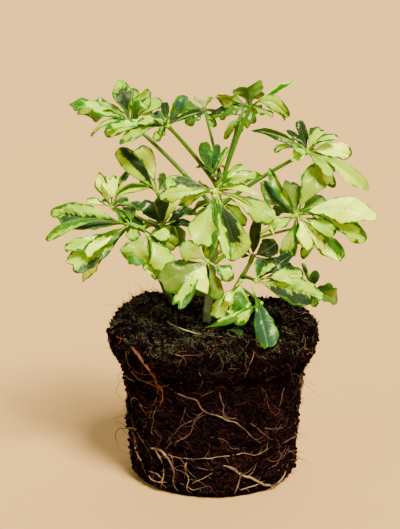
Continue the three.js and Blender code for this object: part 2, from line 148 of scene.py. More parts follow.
# Gathers tubes in millimetres and makes one closed mesh of them, with values kept at its points.
class Shape:
    def __init__(self):
        self.points, self.faces, self.values, self.count = [], [], {}, 0

    # rings is (tubes, rings, sides, 3). Neighbouring rings join by four-sided faces, and the first
    # and the last ring close on a middle point each, or the last on the tip that is given.
    def addTubes(self, rings, tips=None, **values):
        rings = np.asarray(rings, float)
        rings = rings.reshape(-1, *rings.shape[-3:])
        tubes, steps, sides, _ = rings.shape
        size = tubes * steps * sides
        here = self.count + np.arange(size).reshape(tubes, steps, sides)
        onward = np.roll(here, -1, axis=2)
        ends = rings[:, [0, -1]].mean(axis=2)
        if tips is not None:
            ends[:, 1] = np.reshape(tips, (-1, 3))
        start = self.count + size + np.arange(tubes)[:, None] + np.zeros((1, sides), int)
        last = start + tubes
        self.points += [rings.reshape(-1, 3), ends[:, 0], ends[:, 1]]
        for corners in (
            [here[:, :-1], onward[:, :-1], onward[:, 1:], here[:, 1:]],
            [start, onward[:, 0], here[:, 0]],
            [last, here[:, -1], onward[:, -1]],
        ):
            self.faces += np.stack(corners, axis=-1).reshape(-1, len(corners)).tolist()
        for name, value in values.items():
            value = np.asarray(value, float)
            wide = value.shape[-1:] if name in vectorValues or name in colourValues else ()
            value = np.broadcast_to(value, (tubes, steps, sides, *wide))
            edges = value[:, [0, -1]].mean(axis=2)
            kept = [value.reshape(-1, *wide), edges[:, 0], edges[:, 1]]
            self.values.setdefault(name, []).extend(kept)
        self.count += size + 2 * tubes

    # The mesh in metres as an object at the origin, with its values as attributes.
    def made(self, name):
        mesh = bpy.data.meshes.new(name)
        mesh.from_pydata(np.concatenate(self.points) * mm, [], self.faces)
        for key, parts in self.values.items():
            kind, field = "FLOAT", "value"
            if key in vectorValues:
                kind, field = "FLOAT_VECTOR", "vector"
            if key in colourValues:
                kind, field = "FLOAT_COLOR", "color"
            layer = mesh.attributes.new(key, kind, "POINT")
            layer.data.foreach_set(field, np.concatenate(parts).astype(np.float32).ravel())
        mesh.shade_smooth()
        mesh.update()
        piece = bpy.data.objects.new(name, mesh)
        bpy.context.scene.collection.objects.link(piece)
        return piece


# A piece made of one set of tubes.
def tubePiece(name, rings, tips=None, **values):
    shape = Shape()
    shape.addTubes(rings, tips, **values)
    return shape.made(name)


# Gives a piece its finish, its body and the nodes that it stands for; the slot is not used.
def settle(piece, finish, slot, *nodes):
    piece.data.materials.append(finish.material)
    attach(piece, "root")
    if nodes:
        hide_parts(*nodes)
    print(f"{piece.name}: {len(piece.data.polygons)} faces")


# A node's output, so that sums of outputs and numbers read as sums.
class Wire:
    def __init__(self, finish, socket):
        self.finish, self.socket = finish, socket

    def __add__(self, other):
        return self.finish.maths("ADD", self, other)

    def __sub__(self, other):
        return self.finish.maths("SUBTRACT", self, other)

    def __rsub__(self, other):
        return self.finish.maths("SUBTRACT", other, self)

    def __mul__(self, other):
        return self.finish.maths("MULTIPLY", self, other)

    __radd__ = __add__
    __rmul__ = __mul__


# A material with one Principled shader; fixed holds what is the same all over the surface.
class Finish:
    def __init__(self, name, fixed):
        self.material = bpy.data.materials.new(name)
        self.material.use_nodes = True
        self.tree = self.material.node_tree
        self.tree.nodes.clear()
        self.shader = self.tree.nodes.new("ShaderNodeBsdfPrincipled")
        output = self.tree.nodes.new("ShaderNodeOutputMaterial")
        self.tree.links.new(self.shader.outputs["BSDF"], output.inputs["Surface"])
        self.dress(fixed)

    # Puts a number, a colour or a wire into a socket.
    def put(self, socket, value):
        if isinstance(value, Wire):
            self.tree.links.new(value.socket, socket)
        else:
            socket.default_value = value

    def dress(self, values):
        for socket, value in values.items():
            self.put(self.shader.inputs[socket], value)

    # Any node: its kind, its settings, the values or wires of its sockets, and the output wanted.
    def node(self, kind, settings, sockets, output=0):
        made = self.tree.nodes.new("ShaderNode" + kind)
        for key, value in settings.items():
            setattr(made, key, value)
        for key, value in sockets.items():
            self.put(made.inputs[key], value)
        return Wire(self, made.outputs[output])

    def maths(self, operation, *values):
        return self.node("Math", {"operation": operation}, dict(enumerate(values)))

    # The colour below where the mask is 0 and the one above where it is 1.
    def mixed(self, mask, below, above, how="MIX"):
        settings = {"data_type": "RGBA", "blend_type": how}
        return self.node("Mix", settings, {0: mask, 6: below, 7: above}, 2)

    # Rises smoothly from 0 at low to 1 at high.
    def rise(self, value, low, high):
        sockets = {"Value": value, "From Min": low, "From Max": high}
        return self.node("MapRange", {"interpolation_type": "SMOOTHSTEP"}, sockets)

    def place(self):
        return self.node("TexCoord", {}, {}, "Object")

    def scaled(self, place, scale):
        return self.node("Mapping", {}, {"Vector": place, "Scale": scale})

    def noise(self, place, scale, detail=3.0, rough=0.55):
        sockets = {"Vector": place, "Scale": scale, "Detail": detail, "Roughness": rough}
        return self.node("TexNoise", {}, sockets)

    # Spots: where a noise rises from low to high.
    def spots(self, place, scale, low, high, detail=3.0):
        return self.rise(self.noise(place, scale, detail), low, high)

    # Thin curving threads: where a noise passes its middle value.
    def threads(self, place, scale, width):
        away = self.maths("ABSOLUTE", self.noise(place, scale, 2.0) - 0.5)
        return 1 - self.rise(away, 0.2 * width, width)

    # A value kept at the mesh's points.
    def kept(self, name, output):
        return self.node("Attribute", {"attribute_name": name}, {}, output)

    def parts(self, vector):
        return [self.node("SeparateXYZ", {}, {0: vector}, axis) for axis in range(3)]

    def joined(self, *values):
        return self.node("CombineXYZ", {}, dict(enumerate(values)))

    def bumped(self, height, distance, strength=1.0):
        sockets = {"Height": height, "Distance": distance, "Strength": strength}
        return self.node("Bump", {}, sockets)


# Root ball: the form that its pot gave it, in millimetres. Rings are a radius and a height, the first
# ten of them on the side. A wave is its turns round the ball, its turn with height and its start. A
# hump is its place, height and spread, and the ripple its height and its reach each way. Crumbs are
# the size of the lumps and how far they stand out. The last pairs are heights or radii between which
# the waves, the humps and the crumbs come in.
ball = {
    "height": 92,
    "rings": [
        (44, 0), (47, 4), (48.5, 20), (50, 40), (51.5, 61), (53.5, 69), (58, 74), (59.5, 81),
        (59.8, 87), (58, 91.5), (50, 92.5), (28, 92), (13, 92),
    ],
    "sideRings": 10, "core": 0.4, "around": 340, "along": 256,
    "relief": 1.0, "reliefStart": 10,
    "waves": [(5, 0.11, 0), (9, -0.17, 2), (14, 0.25, 4)],
    "humps": [
        (-38, 20, 8.5, 13), (-14, 36, 3, 14), (42, 20, 5.5, 11), (44, -10, 1.5, 10),
        (-30, -28, 1.5, 14),
    ],
    "ripple": (0.4, 4.5, 5.5),
    "crumbs": [(9.0, 0.7), (4.0, 0.9), (1.9, 0.65), (1.1, 0.2)],
    "wavesUpTo": (60, 92), "wavesFrom": (5, 30), "humpsTo": (58.5, 53), "humpsFrom": (80, 91),
    "crumbsFrom": (0.3, 5),
}


# The side's waves: the mean of sines of turns times angle plus rate times height, none at the foot.
def sideRelief(angle, height):
    total = sum(np.sin(turns * angle + rate * height + phase) for turns, rate, phase in ball["waves"])
    return ball["relief"] / len(ball["waves"]) * total * np.clip(height / ball["reliefStart"], 0, 1)


# The top's humps, each a bell curve over its place, with a fine ripple.
def topRelief(x, y):
    rise, acrossX, acrossY = ball["ripple"]
    total = rise * np.sin(x / acrossX) * np.cos(y / acrossY)
    for humpX, humpY, height, spread in ball["humps"]:
        total = total + height * np.exp(-((x - humpX) ** 2 + (y - humpY) ** 2) / (2 * spread ** 2))
    return total


# The side's radius at a height, straight from ring to ring.
def sideRadius(height):
    radii, levels = np.array(ball["rings"][:ball["sideRings"]]).T
    return np.interp(height, levels, radii)


# Points at angles round the axis, 0 in front, at a distance from it and at heights.
def roundAxis(angle, reach, height):
    return np.stack([reach * np.sin(angle), -reach * np.cos(angle), height], axis=-1)


# The ball's surface: its outline, read at even steps and with its corners rounded by a running mean,
# goes round the axis; then waves, humps and crumbs of four sizes push it out along its normal.
def ballSurface():
    core, inner, rounding = ball["core"], slice(1, -1), np.ones(3) / 3
    outline = np.array([(core, 0), *ball["rings"], (core, ball["height"])], float)
    length = lengths(outline)
    even = np.linspace(0, length[-1], ball["along"])
    radius, level = (np.interp(even, length, outline[:, axis]) for axis in (0, 1))
    radius[inner], level[inner] = (np.convolve(part, rounding, "valid") for part in (radius, level))
    outward = unit(np.stack([np.gradient(level), -np.gradient(radius)], axis=-1))
    angle = evenAngles(ball["around"])[None]
    angle, radius, level = np.broadcast_arrays(angle, radius[:, None], level[:, None])
    spoke = np.stack([np.sin(angle), -np.cos(angle)], axis=-1)
    onSide = np.where(outward[:, None, 0] > 0.2, 1, easeStep(level, *ball["wavesUpTo"]))
    reach = radius + sideRelief(angle, level) * onSide * easeStep(radius, *ball["wavesFrom"])
    points = np.concatenate([reach[..., None] * spoke, level[..., None]], axis=-1)
    onTop = easeStep(radius, *ball["humpsTo"]) * easeStep(level, *ball["humpsFrom"])
    points[..., 2] += onTop * topRelief(points[..., 0], points[..., 1])
    upward = outward[:, None, 1:] + 0 * reach[..., None]
    normal = np.concatenate([outward[:, None, :1] * spoke, upward], axis=-1)
    crumbs = sum(height * lumps(points, size, seed) for seed, (size, height) in enumerate(ball["crumbs"]))
    return points + normal * (crumbs * easeStep(level, *ball["crumbsFrom"]))[..., None]


ballPoints = ballSurface()
aroundStep = np.roll(ballPoints, -1, axis=1) - np.roll(ballPoints, 1, axis=1)
ballNormals = np.cross(aroundStep, np.gradient(ballPoints, axis=0))
ballAreas = np.linalg.norm(ballNormals, axis=-1)
ballNormals = unit(ballNormals)

peatTones = {
    "dark": tone(3, 1.8, 2), "bit": tone(15, 8, 8.5), "clump": tone(18, 8.5, 8),
    "fineThread": tone(48, 23, 21), "coarseThread": tone(66, 33, 26),
    "darkMoss": tone(15, 14, 7), "lightMoss": tone(42, 42, 20),
}


# Peat: near black, with red-brown threads of two sizes over lumpy bits, and moss on its upper part.
def peatFinish():
    peat = Finish("peat", {"Roughness": 1.0, "Specular IOR Level": 0.0})
    place = peat.place()
    high = peat.parts(place)[2]
    bits = peat.noise(place, 420, 5.0, 0.7)
    clumps = peat.noise(place, 70)
    colour = peat.mixed(peat.rise(bits, 0.38, 0.7), peatTones["dark"], peatTones["bit"])
    colour = peat.mixed(peat.rise(clumps, 0.5, 0.75) * 0.5, colour, peatTones["clump"])
    fine = peat.threads(peat.scaled(place, (1.0, 1.0, 0.7)), 260, 0.03)
    patchy = peat.spots(place, 45, 0.42, 0.62)
    coarse = peat.threads(place, 130, 0.018) * patchy
    colour = peat.mixed(fine * (0.15 + 0.4 * patchy), colour, peatTones["fineThread"])
    colour = peat.mixed(coarse * 0.6, colour, peatTones["coarseThread"])
    upper = peat.rise(high + (clumps - 0.5) * 0.03, 0.078, 0.093)
    green = peat.mixed(peat.rise(bits, 0.35, 0.65), peatTones["darkMoss"], peatTones["lightMoss"])
    colour = peat.mixed(upper * peat.spots(place, 150, 0.5, 0.68) * 0.55, colour, green)
    height = bits + 0.7 * fine + 0.6 * coarse
    peat.dress({"Base Color": colour, "Normal": peat.bumped(height, 0.0011)})
    return peat


settle(tubePiece("rootBall", ballPoints), peatFinish(), "soil", "root_ball")

# Where loose things lie: the share of each at places on the side and on the top.
heights = ballPoints[..., 2]
sideways = easeStep(heights, 2, 8) * easeStep(heights, 96, 88)
upwards = easeStep(ballNormals[..., 2], 0.2, 0.7) * easeStep(heights, 60, 88)


# Picks places on the ball, each as often as its area times the density there asks.
def scatter(count, density, rng):
    chances = (ballAreas * density).ravel()
    picks = rng.choice(chances.size, count, p=chances / chances.sum())
    points = ballPoints.reshape(-1, 3)[picks]
    return points + rng.normal(0, 0.25, points.shape), ballNormals.reshape(-1, 3)[picks]


# Turns unit vectors by up to a share of their length in a random direction.
def strayed(vectors, share, rng):
    return unit(vectors + share * unit(rng.normal(size=vectors.shape)))


# Lengths drawn from a range, each cut short by a second draw between a share and 1.
def cutShort(span, shortest, shape, rng):
    return rng.uniform(*span, shape) * rng.uniform(shortest, 1, shape)


# A finish for small things whose shade, 0 to 1, picks a colour between a dark and a light one, and
# goes towards a third at their tips where there is one.
def shadedFinish(name, dark, light, gloss, tip=None):
    finish = Finish(name, {"Roughness": 0.85, "Specular IOR Level": gloss})
    place = finish.place()
    shade = finish.kept("shade", "Fac")
    colour = finish.mixed(shade, dark, light)
    colour = finish.mixed(finish.spots(place, 900, 0.4, 0.7) * 0.5, colour, dark)
    if tip:
        colour = finish.mixed(finish.kept("tip", "Fac") * shade, colour, tip)
    finish.dress({"Base Color": colour, "Normal": finish.bumped(finish.noise(place, 1600), 0.0002)})
    return finish


crumb = {
    "seed": 11, "count": 6800, "size": (0.4, 1.5), "mostlySmall": 2.5, "lean": 1.2, "sides": 5,
    "uneven": (0.6, 1.25), "tones": (tone(3, 1.8, 2), tone(17, 9, 9.5)), "gloss": 0.0,
}


# A crumb: two rings of five points round a middle, each point at a random distance, with two tips.
def crumbs():
    rng = np.random.default_rng(crumb["seed"])
    count, sides = crumb["count"], crumb["sides"]
    middle, out = scatter(count, sideways + 1.2 * upwards, rng)
    low, high = crumb["size"]
    size = low + (high - low) * rng.random(count) ** crumb["mostlySmall"]
    axis = strayed(out, crumb["lean"], rng)
    path = middle[:, None] + axis[:, None] * size[:, None, None] * np.array([-0.4, 0.4])[:, None]
    rings = tube(path, size[:, None], sides, up=(0.31, 0.85, 0.42))
    centres = middle[:, None, None]
    rings = centres + (rings - centres) * rng.uniform(*crumb["uneven"], (count, 2, sides, 1))
    tips = middle + axis * size[:, None]
    return tubePiece("crumbs", rings, tips, shade=rng.random((count, 1, 1)))


settle(crumbs(), shadedFinish("crumbPeat", *crumb["tones"], crumb["gloss"]), "soil")


# Points just off the side at angles and heights: as far out as the ball's own point there, and a lift.
def sidePoints(angle, height, lift):
    column = np.round(np.degrees(angle) / 360 * ball["around"]).astype(int) % ball["around"]
    levels = ballPoints[..., 2].mean(axis=1)
    side = slice(*np.searchsorted(np.maximum.accumulate(levels), [2.0, 87.0]))
    row = side.start + np.clip(np.searchsorted(levels[side], height), 0, side.stop - side.start - 1)
    reach = np.hypot(*np.moveaxis(ballPoints[row, column, :2], -1, 0)) + lift
    return roundAxis(angle, reach, height)


fibre = {
    "seed": 23, "count": 2600, "steps": 7, "length": (3, 13), "radius": (0.06, 0.15), "slant": 0.75,
    "bend": 0.9, "waver": 0.25, "foot": 3, "span": 84, "lift": (-0.1, 0.5), "ballRadius": 52,
    "tones": (tone(20, 10, 9), tone(72, 36, 32)), "gloss": 0.1,
}


# Fine roots that lie on the side: each goes from a place round the ball and up or down it along a
# line with a bend and a waver, just off the surface.
def fibres():
    rng = np.random.default_rng(fibre["seed"])
    count, steps = fibre["count"], fibre["steps"]
    share = np.linspace(-0.5, 0.5, steps)
    length = cutShort(fibre["length"], 0.5, (count, 1), rng)
    slant = rng.normal(0, fibre["slant"], (count, 1))
    bend = rng.normal(0, fibre["bend"], (count, 1)) * share + rng.normal(0, fibre["waver"], (count, steps))
    turn = slant + bend
    middleAngle = rng.uniform(0, 2 * np.pi, (count, 1))
    middleHeight = fibre["foot"] + fibre["span"] * rng.random((count, 1))
    step = length / steps
    angle = middleAngle + np.cumsum(np.cos(turn), axis=1) * step / fibre["ballRadius"]
    height = np.clip(middleHeight + np.cumsum(np.sin(turn), axis=1) * step, 1, 90)
    lift = rng.uniform(*fibre["lift"], (count, 1)) + 0.5 * rng.random((count, steps))
    path = sidePoints(angle, height, lift)
    radius = rng.uniform(*fibre["radius"], (count, 1)) * (1 - 0.7 * (share + 0.5))
    rings = tube(path, radius, 3, path * np.array([1, 1, 0]))
    return tubePiece("fibres", rings, shade=rng.random((count, 1, 1)))


settle(fibres(), shadedFinish("fibreRoot", *fibre["tones"], fibre["gloss"]), "root")

tuft = {
    "seed": 37, "count": 1300, "blades": 5, "length": (1.0, 3.4), "radius": (0.12, 0.26), "lean": 0.95,
    "spread": 0.6, "curl": 2.2, "hump": (-36, -2), "rootedIn": 0.4,
    "tones": (tone(8, 7, 4), tone(46, 43, 21)), "gloss": 0.1, "tip": tone(112, 108, 70),
}


# Moss: tufts of tapering blades that lean out from the surface's normal and bend over. It grows in
# patches all over the top, and thickest along the front of the rim and on the hump at the left.
def moss():
    rng = np.random.default_rng(tuft["seed"])
    patchy = easeStep(lumps(ballPoints, 9, 5), -0.1, 0.45)
    across, deep = ballPoints[..., 0], ballPoints[..., 1]
    front = easeStep(deep, -26, -42) * easeStep(heights, 80, 90)
    humpX, humpY = tuft["hump"]
    hump = easeStep(np.hypot(across - humpX, deep - humpY), 30, 14) * upwards
    middle, out = scatter(tuft["count"], (0.3 * upwards + front + 0.8 * hump) * (0.1 + patchy), rng)
    blades = tuft["blades"]
    middle, out = np.repeat(middle, blades, axis=0), np.repeat(out, blades, axis=0)
    shade = np.repeat(rng.random(len(middle) // blades) ** 2, blades)[:, None, None]
    out = strayed(out, tuft["lean"], rng)[:, None]
    count = len(middle)
    base = (middle + rng.normal(0, tuft["spread"], (count, 3)))[:, None]
    length = cutShort(tuft["length"], 0.5, (count, 1), rng)[..., None]
    bent = unit(np.cross(out, rng.normal(size=(count, 1, 3))))
    share = np.linspace(0, 1, 4)[None, :, None]
    turn = tuft["curl"] * share
    curve = out * np.sin(turn) / 1.6 + bent * (1 - np.cos(turn)) / 1.8
    path = base - tuft["rootedIn"] * out + length * curve
    radius = rng.uniform(*tuft["radius"], (count, 1)) * np.linspace(1, 0.5, 4)
    return tubePiece("moss", tube(path, radius, 3, up=(0.2, 0.9, 0.4)), shade=shade, tip=share)


settle(moss(), shadedFinish("mossGreen", *tuft["tones"], tuft["gloss"], tuft["tip"]), "soil")

straw = {
    "seed": 43, "count": 620, "steps": 6, "length": (2, 9), "radius": (0.08, 0.22), "lift": 0.5,
    "bend": 0.3, "waver": 0.12, "tones": (tone(22, 11, 7), tone(128, 98, 62)), "gloss": 0.2,
}


# Litter: bits of straw and root that lie on the top and the rim. Each runs square to the surface's
# normal and arches over the bits under it.
def litter():
    rng = np.random.default_rng(straw["seed"])
    middle, out = scatter(straw["count"], upwards + 0.5 * easeStep(heights, 72, 88), rng)
    count = len(middle)
    share = np.linspace(-0.5, 0.5, straw["steps"])[None, :, None]
    way = unit(np.cross(out, unit(rng.normal(size=(count, 3)))))[:, None]
    length = cutShort(straw["length"], 0.4, (count, 1, 1), rng)
    bend = rng.normal(0, straw["bend"], (count, 1, 1)) * np.cross(way, out[:, None])
    bend = bend + rng.normal(0, straw["waver"], (count, 1, 3))
    path = middle[:, None] + straw["lift"] * out[:, None] + length * (way * share + 4 * bend * share ** 2)
    radius = rng.uniform(*straw["radius"], (count, 1)) * (1 - 0.5 * (share[..., 0] + 0.5))
    rings = tube(path, radius, 4, up=(0.3, 0.5, 0.1))
    return tubePiece("litter", rings, shade=rng.random((count, 1, 1)) ** 2)


settle(litter(), shadedFinish("litterStraw", *straw["tones"], straw["gloss"]), "root")

hair = {
    "seed": 41, "count": 460, "steps": 6, "length": (3, 11), "radius": (0.08, 0.13), "lean": 0.6,
    "bend": 0.35, "tones": (tone(20, 13, 9), tone(66, 48, 34)), "gloss": 0.2,
}


# Hairs that stand out along a line that bends as the square of its length: most of them on the hump
# at the back left, the others all over the top and the side.
def hairs():
    rng = np.random.default_rng(hair["seed"])
    humpX, humpY = ball["humps"][0][:2]
    away = np.hypot(ballPoints[..., 0] - humpX, ballPoints[..., 1] - humpY)
    density = upwards * (0.12 + 1.6 * easeStep(away, 24, 8)) + 0.1 * sideways
    base, out = scatter(hair["count"], density, rng)
    count = len(base)
    share = np.linspace(0, 1, hair["steps"])[None, :, None]
    length = cutShort(hair["length"], 0.3, (count, 1, 1), rng)
    first = strayed(out, hair["lean"], rng)[:, None]
    bend = rng.normal(0, hair["bend"], (count, 1, 3))
    path = base[:, None] + length * (first * share + bend * share ** 2)
    radius = rng.uniform(*hair["radius"], (count, 1)) * (1 - 0.6 * share[..., 0])
    rings = tube(path, radius, 3, up=(0.3, 0.5, 0.1))
    return tubePiece("hairs", rings, shade=rng.random((count, 1, 1)))


settle(hairs(), shadedFinish("hairBrown", *hair["tones"], hair["gloss"]), "root")

# Roots on the ball in nets: each root is its radius and its points, which are an angle round the ball
# (0 front, 90 right) in degrees and a height.
rootNets = {
    "rust_left": {"rust": 0.95, "roots": [
        (0.95, [(-49, 87), (-43, 83), (-38, 78), (-35, 72), (-36, 66), (-33, 62)]),
        (0.5, [(-56, 72), (-49, 67), (-41, 65), (-33, 65), (-26, 68)]),
        (0.3, [(-56, 82), (-54, 75), (-51, 72), (-43, 71), (-34, 73)]),
        (0.5, [(-36, 66), (-33, 64), (-33, 58), (-35, 53)]),
        (0.3, [(-26, 68), (-20, 69), (-17, 76)]),
    ]},
    "middle": {"rust": 0.5, "roots": [
        (0.55, [(-27, 65), (-18, 61), (-11, 59), (-7, 53), (5, 50), (15, 45), (24, 37), (31, 32)]),
        (0.36, [(-5, 54), (-12, 48), (-15, 40), (-22, 35), (-30, 32)]),
        (0.45, [(3, 65), (5, 58), (7, 50), (17, 48), (27, 42), (34, 36), (41, 32)]),
        (0.28, [(-12, 61), (-4, 64), (0, 66)]),
        (0.22, [(-16, 57), (-19, 51), (-22, 44)]),
        (0.25, [(-14, 47), (-22, 42), (-28, 36), (-33, 31)]),
    ]},
    "foot_left": {"rust": 0.12, "roots": [
        (0.8, [(-46, 26), (-36, 26), (-30, 21), (-27, 15), (-28, 8), (-25, 3)]),
        (0.65, [(-64, 22), (-59, 15), (-53, 9), (-44, 6), (-33, 8)]),
        (0.6, [(-42, 27), (-36, 18), (-36, 10), (-39, 3)]),
        (0.3, [(-33, 25), (-20, 24), (-8, 25), (5, 26), (17, 27), (30, 25), (42, 28)]),
        (0.4, [(-18, 22), (-19, 17), (-17, 11), (-19, 5), (-17, 3)]),
        (0.3, [(-52, 11), (-42, 11), (-36, 8)]),
    ]},
    "foot_right": {"rust": 0.12, "roots": [
        (0.8, [(6, 21), (12, 19), (19, 14), (26, 12), (36, 6), (47, 3), (56, 5), (61, 12)]),
        (0.6, [(18, 16), (16, 9), (14, 3)]),
        (0.3, [(-15, 9), (-3, 16), (8, 20)]),
        (0.32, [(18, 5), (30, 7), (45, 10), (55, 14)]),
    ]},
}
# The nets of the hidden sides: the angle of each one's middle, and the rule that draws them.
hiddenNets = {"side_right": 100, "back_right": 145, "back": 190, "side_left": 240}
netRule = {
    "roots": 3, "steps": 4, "top": 62, "fall": 54, "sway": 14, "trunkRadius": 0.8, "sideRadii": 0.6,
    "turn": 9, "back": 3, "drop": (3, 4), "thin": 0.7, "rust": 0.45,
}

# Thinner roots that lie between the nets, those of the front as seen and the others by a seeded rule.
fineRoots = [
    (0.35, [(-60, 63), (-43, 67), (-36, 68), (-30, 66)]),
    (0.3, [(-35, 66), (-39, 56), (-44, 46), (-55, 33)]),
    (0.25, [(-38, 54), (-43, 37), (-44, 28)]),
    (0.3, [(-6, 51), (-12, 47), (-14, 41), (-20, 36), (-28, 33), (-33, 28), (-37, 22)]),
    (0.4, [(22, 91), (21, 88), (19, 81), (16, 74)]),
    (0.25, [(17, 87), (16, 82), (13, 78)]),
    (0.35, [(-16, 86), (-20, 78), (-24, 70)]),
    (0.35, [(-32, 92), (-24, 88), (-17, 87), (-12, 87), (-5, 88)]),
    (0.3, [(62, 88), (58, 91), (55, 86), (48, 84)]),
    (0.25, [(31, 41), (44, 38), (56, 37)]),
    (0.25, [(45, 31), (49, 27), (52, 24)]),
    (0.3, [(2, 89), (4, 82), (3, 76)]),
    (0.25, [(-8, 78), (-6, 72), (-9, 66)]),
    (0.25, [(28, 66), (34, 60), (36, 52), (42, 47)]),
    (0.3, [(50, 62), (46, 52), (49, 42), (44, 35)]),
    (0.25, [(-2, 38), (6, 36), (13, 31), (22, 30)]),
    (0.25, [(36, 22), (44, 18), (52, 19), (60, 24)]),
    (0.25, [(-55, 50), (-48, 44), (-50, 36)]),
    (0.3, [(-30, 20), (-22, 16), (-15, 13)]),
    (0.3, [(-24, 9), (-14, 6), (-4, 8), (2, 4)]),
    (0.3, [(-12, 20), (-2, 18), (6, 21)]),
    (0.25, [(-34, 14), (-24, 19), (-18, 20)]),
    (0.3, [(-60, 30), (-52, 28), (-46, 26)]),
    (0.35, [(-68, 33), (-58, 30), (-50, 24), (-46, 17)]),
    (0.3, [(47, 26), (50, 22), (53, 19)]),
    (0.3, [(40, 14), (48, 17), (54, 22), (57, 28)]),
]
# Roots that stand off the ball; the third number is how far.
strays = [
    (0.3, [(-50, 63, 0.2), (-66, 63, 0.6), (-80, 62, 2.5), (-88, 58, 4.5), (-84, 54, 4)]),
    (0.14, [(-75, 60, 0.3), (-84, 55, 4), (-88, 49, 6), (-85, 44, 2)]),
    (0.35, [(-60, 33, 0.3), (-72, 31, 2), (-82, 28, 6), (-86, 22, 8), (-88, 14, 8)]),
    (0.22, [(-70, 30, 0.3), (-80, 31, 4), (-92, 29, 7), (-96, 25, 8)]),
    (0.2, [(-66, 24, 0.3), (-76, 26, 3), (-84, 31, 6)]),
    (0.26, [(52, 27, 0.3), (66, 28, 1), (80, 26, 5)]),
    (0.22, [(58, 22, 0.3), (72, 14, 3), (82, 7, 7)]),
    (0.2, [(60, 20, 0.3), (70, 18, 3), (80, 14, 6)]),
    (0.2, [(66, 13, 0.3), (76, 11, 4), (84, 6, 9)]),
    (0.16, [(80, 68, 0.2), (88, 66, 2), (92, 61, 3)]),
    (0.16, [(84, 46, 0.2), (90, 44, 2), (93, 38, 2.4)]),
]
wanderers = {
    "seed": 59, "count": 60, "steps": 5, "angles": (60, 300), "heights": (8, 86), "length": (14, 46),
    "radius": (0.18, 0.42), "bend": 0.8, "rust": (0.1, 0.8),
}

# How a root runs: the size of its kinks and wavers and how far they go, its knobs and rust spots, and
# its rootlets, by how many there are to a millimetre.
rootRule = {
    "stepsPerStretch": 11, "sides": 8, "kink": (4.5, 0.75), "waver": (1.7, 0.22), "knobs": (1.7, 0.25),
    "rustSpots": (6, 0.45), "lift": 0.9, "rootlets": 0.16, "rootletSteps": 7, "rootletSides": 4,
    "rootletReach": (2, 7), "rootletWaver": (2.1, 0.35),
}


# A point of a root's centre line: the side's radius, its waves and a lift, at an angle and a height.
# A third number says how much further it stands out.
def rootLine(points, lift):
    places = np.array([(*point, 0.0)[:3] for point in points], float)
    angle, height = np.radians(places[:, 0]), places[:, 1]
    reach = sideRadius(height) + sideRelief(angle, height) + lift + places[:, 2]
    return roundAxis(angle, reach, height)


# A root: a smooth line that kinks and wavers, dips into the peat here and there, is thinner towards
# both ends and knobbly all along, and sends out rootlets where it lies on the ball.
def addRoot(shape, radius, points, seed, rust, lift=rootRule["lift"]):
    rule = rootRule
    steps = rule["stepsPerStretch"] * (len(points) - 1) + 1
    line = smoothLine(rootLine(points, lift - 0.4 * (radius < 0.5)), steps)
    length = np.linalg.norm(np.diff(line, axis=0), axis=1).sum()
    share = np.linspace(0, 1, steps)
    ends = np.minimum(1, 6 * share * (1 - share))[:, None]
    (kinkSize, kinkReach), (waverSize, waverReach) = rule["kink"], rule["waver"]
    kink = wobble(line, kinkSize, seed + 0.1, seed + 0.4, seed + 0.7)
    waver = wobble(line, waverSize, seed + 0.2, seed + 0.5, seed + 0.8)
    up = unit(line * np.array([1, 1, 0]))
    free = max((*point, 0.0)[2] for point in points) > 0
    sunk = 0 if free else 0.5 * radius ** 0.5 * (lumps(line, 7, seed + 0.6) - 0.1)[:, None]
    line = line + (kinkReach * kink + waverReach * waver) * ends + up * sunk
    line[:, 2] = np.maximum(line[:, 2], radius + 0.3)
    knobSize, knobHeight = rule["knobs"]
    thick = radius * (1 - 0.5 * share) * (1 + knobHeight * lumps(line, knobSize, seed + 0.9))
    thick = thick * np.sqrt(np.clip(share / 0.07, 0.12, 1) * np.clip((1 - share) / 0.2, 0.06, 1))
    spotSize, spotShare = rule["rustSpots"]
    worn = np.clip(rust + spotShare * lumps(line, spotSize, seed + 0.3), 0, 1)
    sides = rule["sides"]
    shape.addTubes(tube(line, thick, sides, up), shade=worn[:, None] * np.ones(sides))
    count = int(length * rule["rootlets"])
    if not free and count > 0:
        addRootlets(shape, line, up, radius, worn, count, seed, lift)


# Rootlets: each leaves the root at its own place, to the left or the right by a draw, and turns away
# from it as the square of its length. It wavers and tapers, and lies on the ball's side.
def addRootlets(shape, line, up, radius, worn, count, seed, lift):
    rule, steps = rootRule, len(line)
    at = (np.arange(count) + 0.2 + 0.6 * draw(seed + np.arange(count))) / count
    near = np.clip((at * (steps - 3)).astype(int) + 1, 1, steps - 2)
    along = unit(line[near + 1] - line[near - 1])
    side = np.cross(along, up[near]) * np.sign(draw(seed + 5 + near) - 0.5)[:, None]
    shortest, further = rule["rootletReach"]
    reach = (shortest + further * draw(seed + 9 + near) ** 1.5)[:, None]
    s = np.linspace(0, 1, rule["rootletSteps"])[None, :, None]
    curve = along[:, None] * (0.9 * s - 0.3 * s ** 2) + side[:, None] * (0.35 * s + 0.75 * s ** 2)
    small = line[near][:, None] + reach[:, None] * curve
    waverSize, waverReach = rule["rootletWaver"]
    small = small + waverReach * s * wobble(small, waverSize, seed + 1.1, seed + 1.4, seed + 1.7)
    spoke = small[..., :2] / np.linalg.norm(small[..., :2], axis=-1, keepdims=True)
    angle = np.arctan2(spoke[..., 0], -spoke[..., 1])
    small[..., 2] = np.clip(small[..., 2], 0.4, 89)
    out = sideRadius(small[..., 2]) + sideRelief(angle, small[..., 2]) + lift - 0.35
    small[..., :2] = spoke * out[..., None]
    thin = (0.1 + 0.2 * radius * draw(seed + 13 + near))[:, None] * (1 - 0.75 * s[..., 0])
    rings = tube(small, thin, rule["rootletSides"], small * np.array([1, 1, 0]))
    shape.addTubes(rings, shade=worn[near][:, None, None])


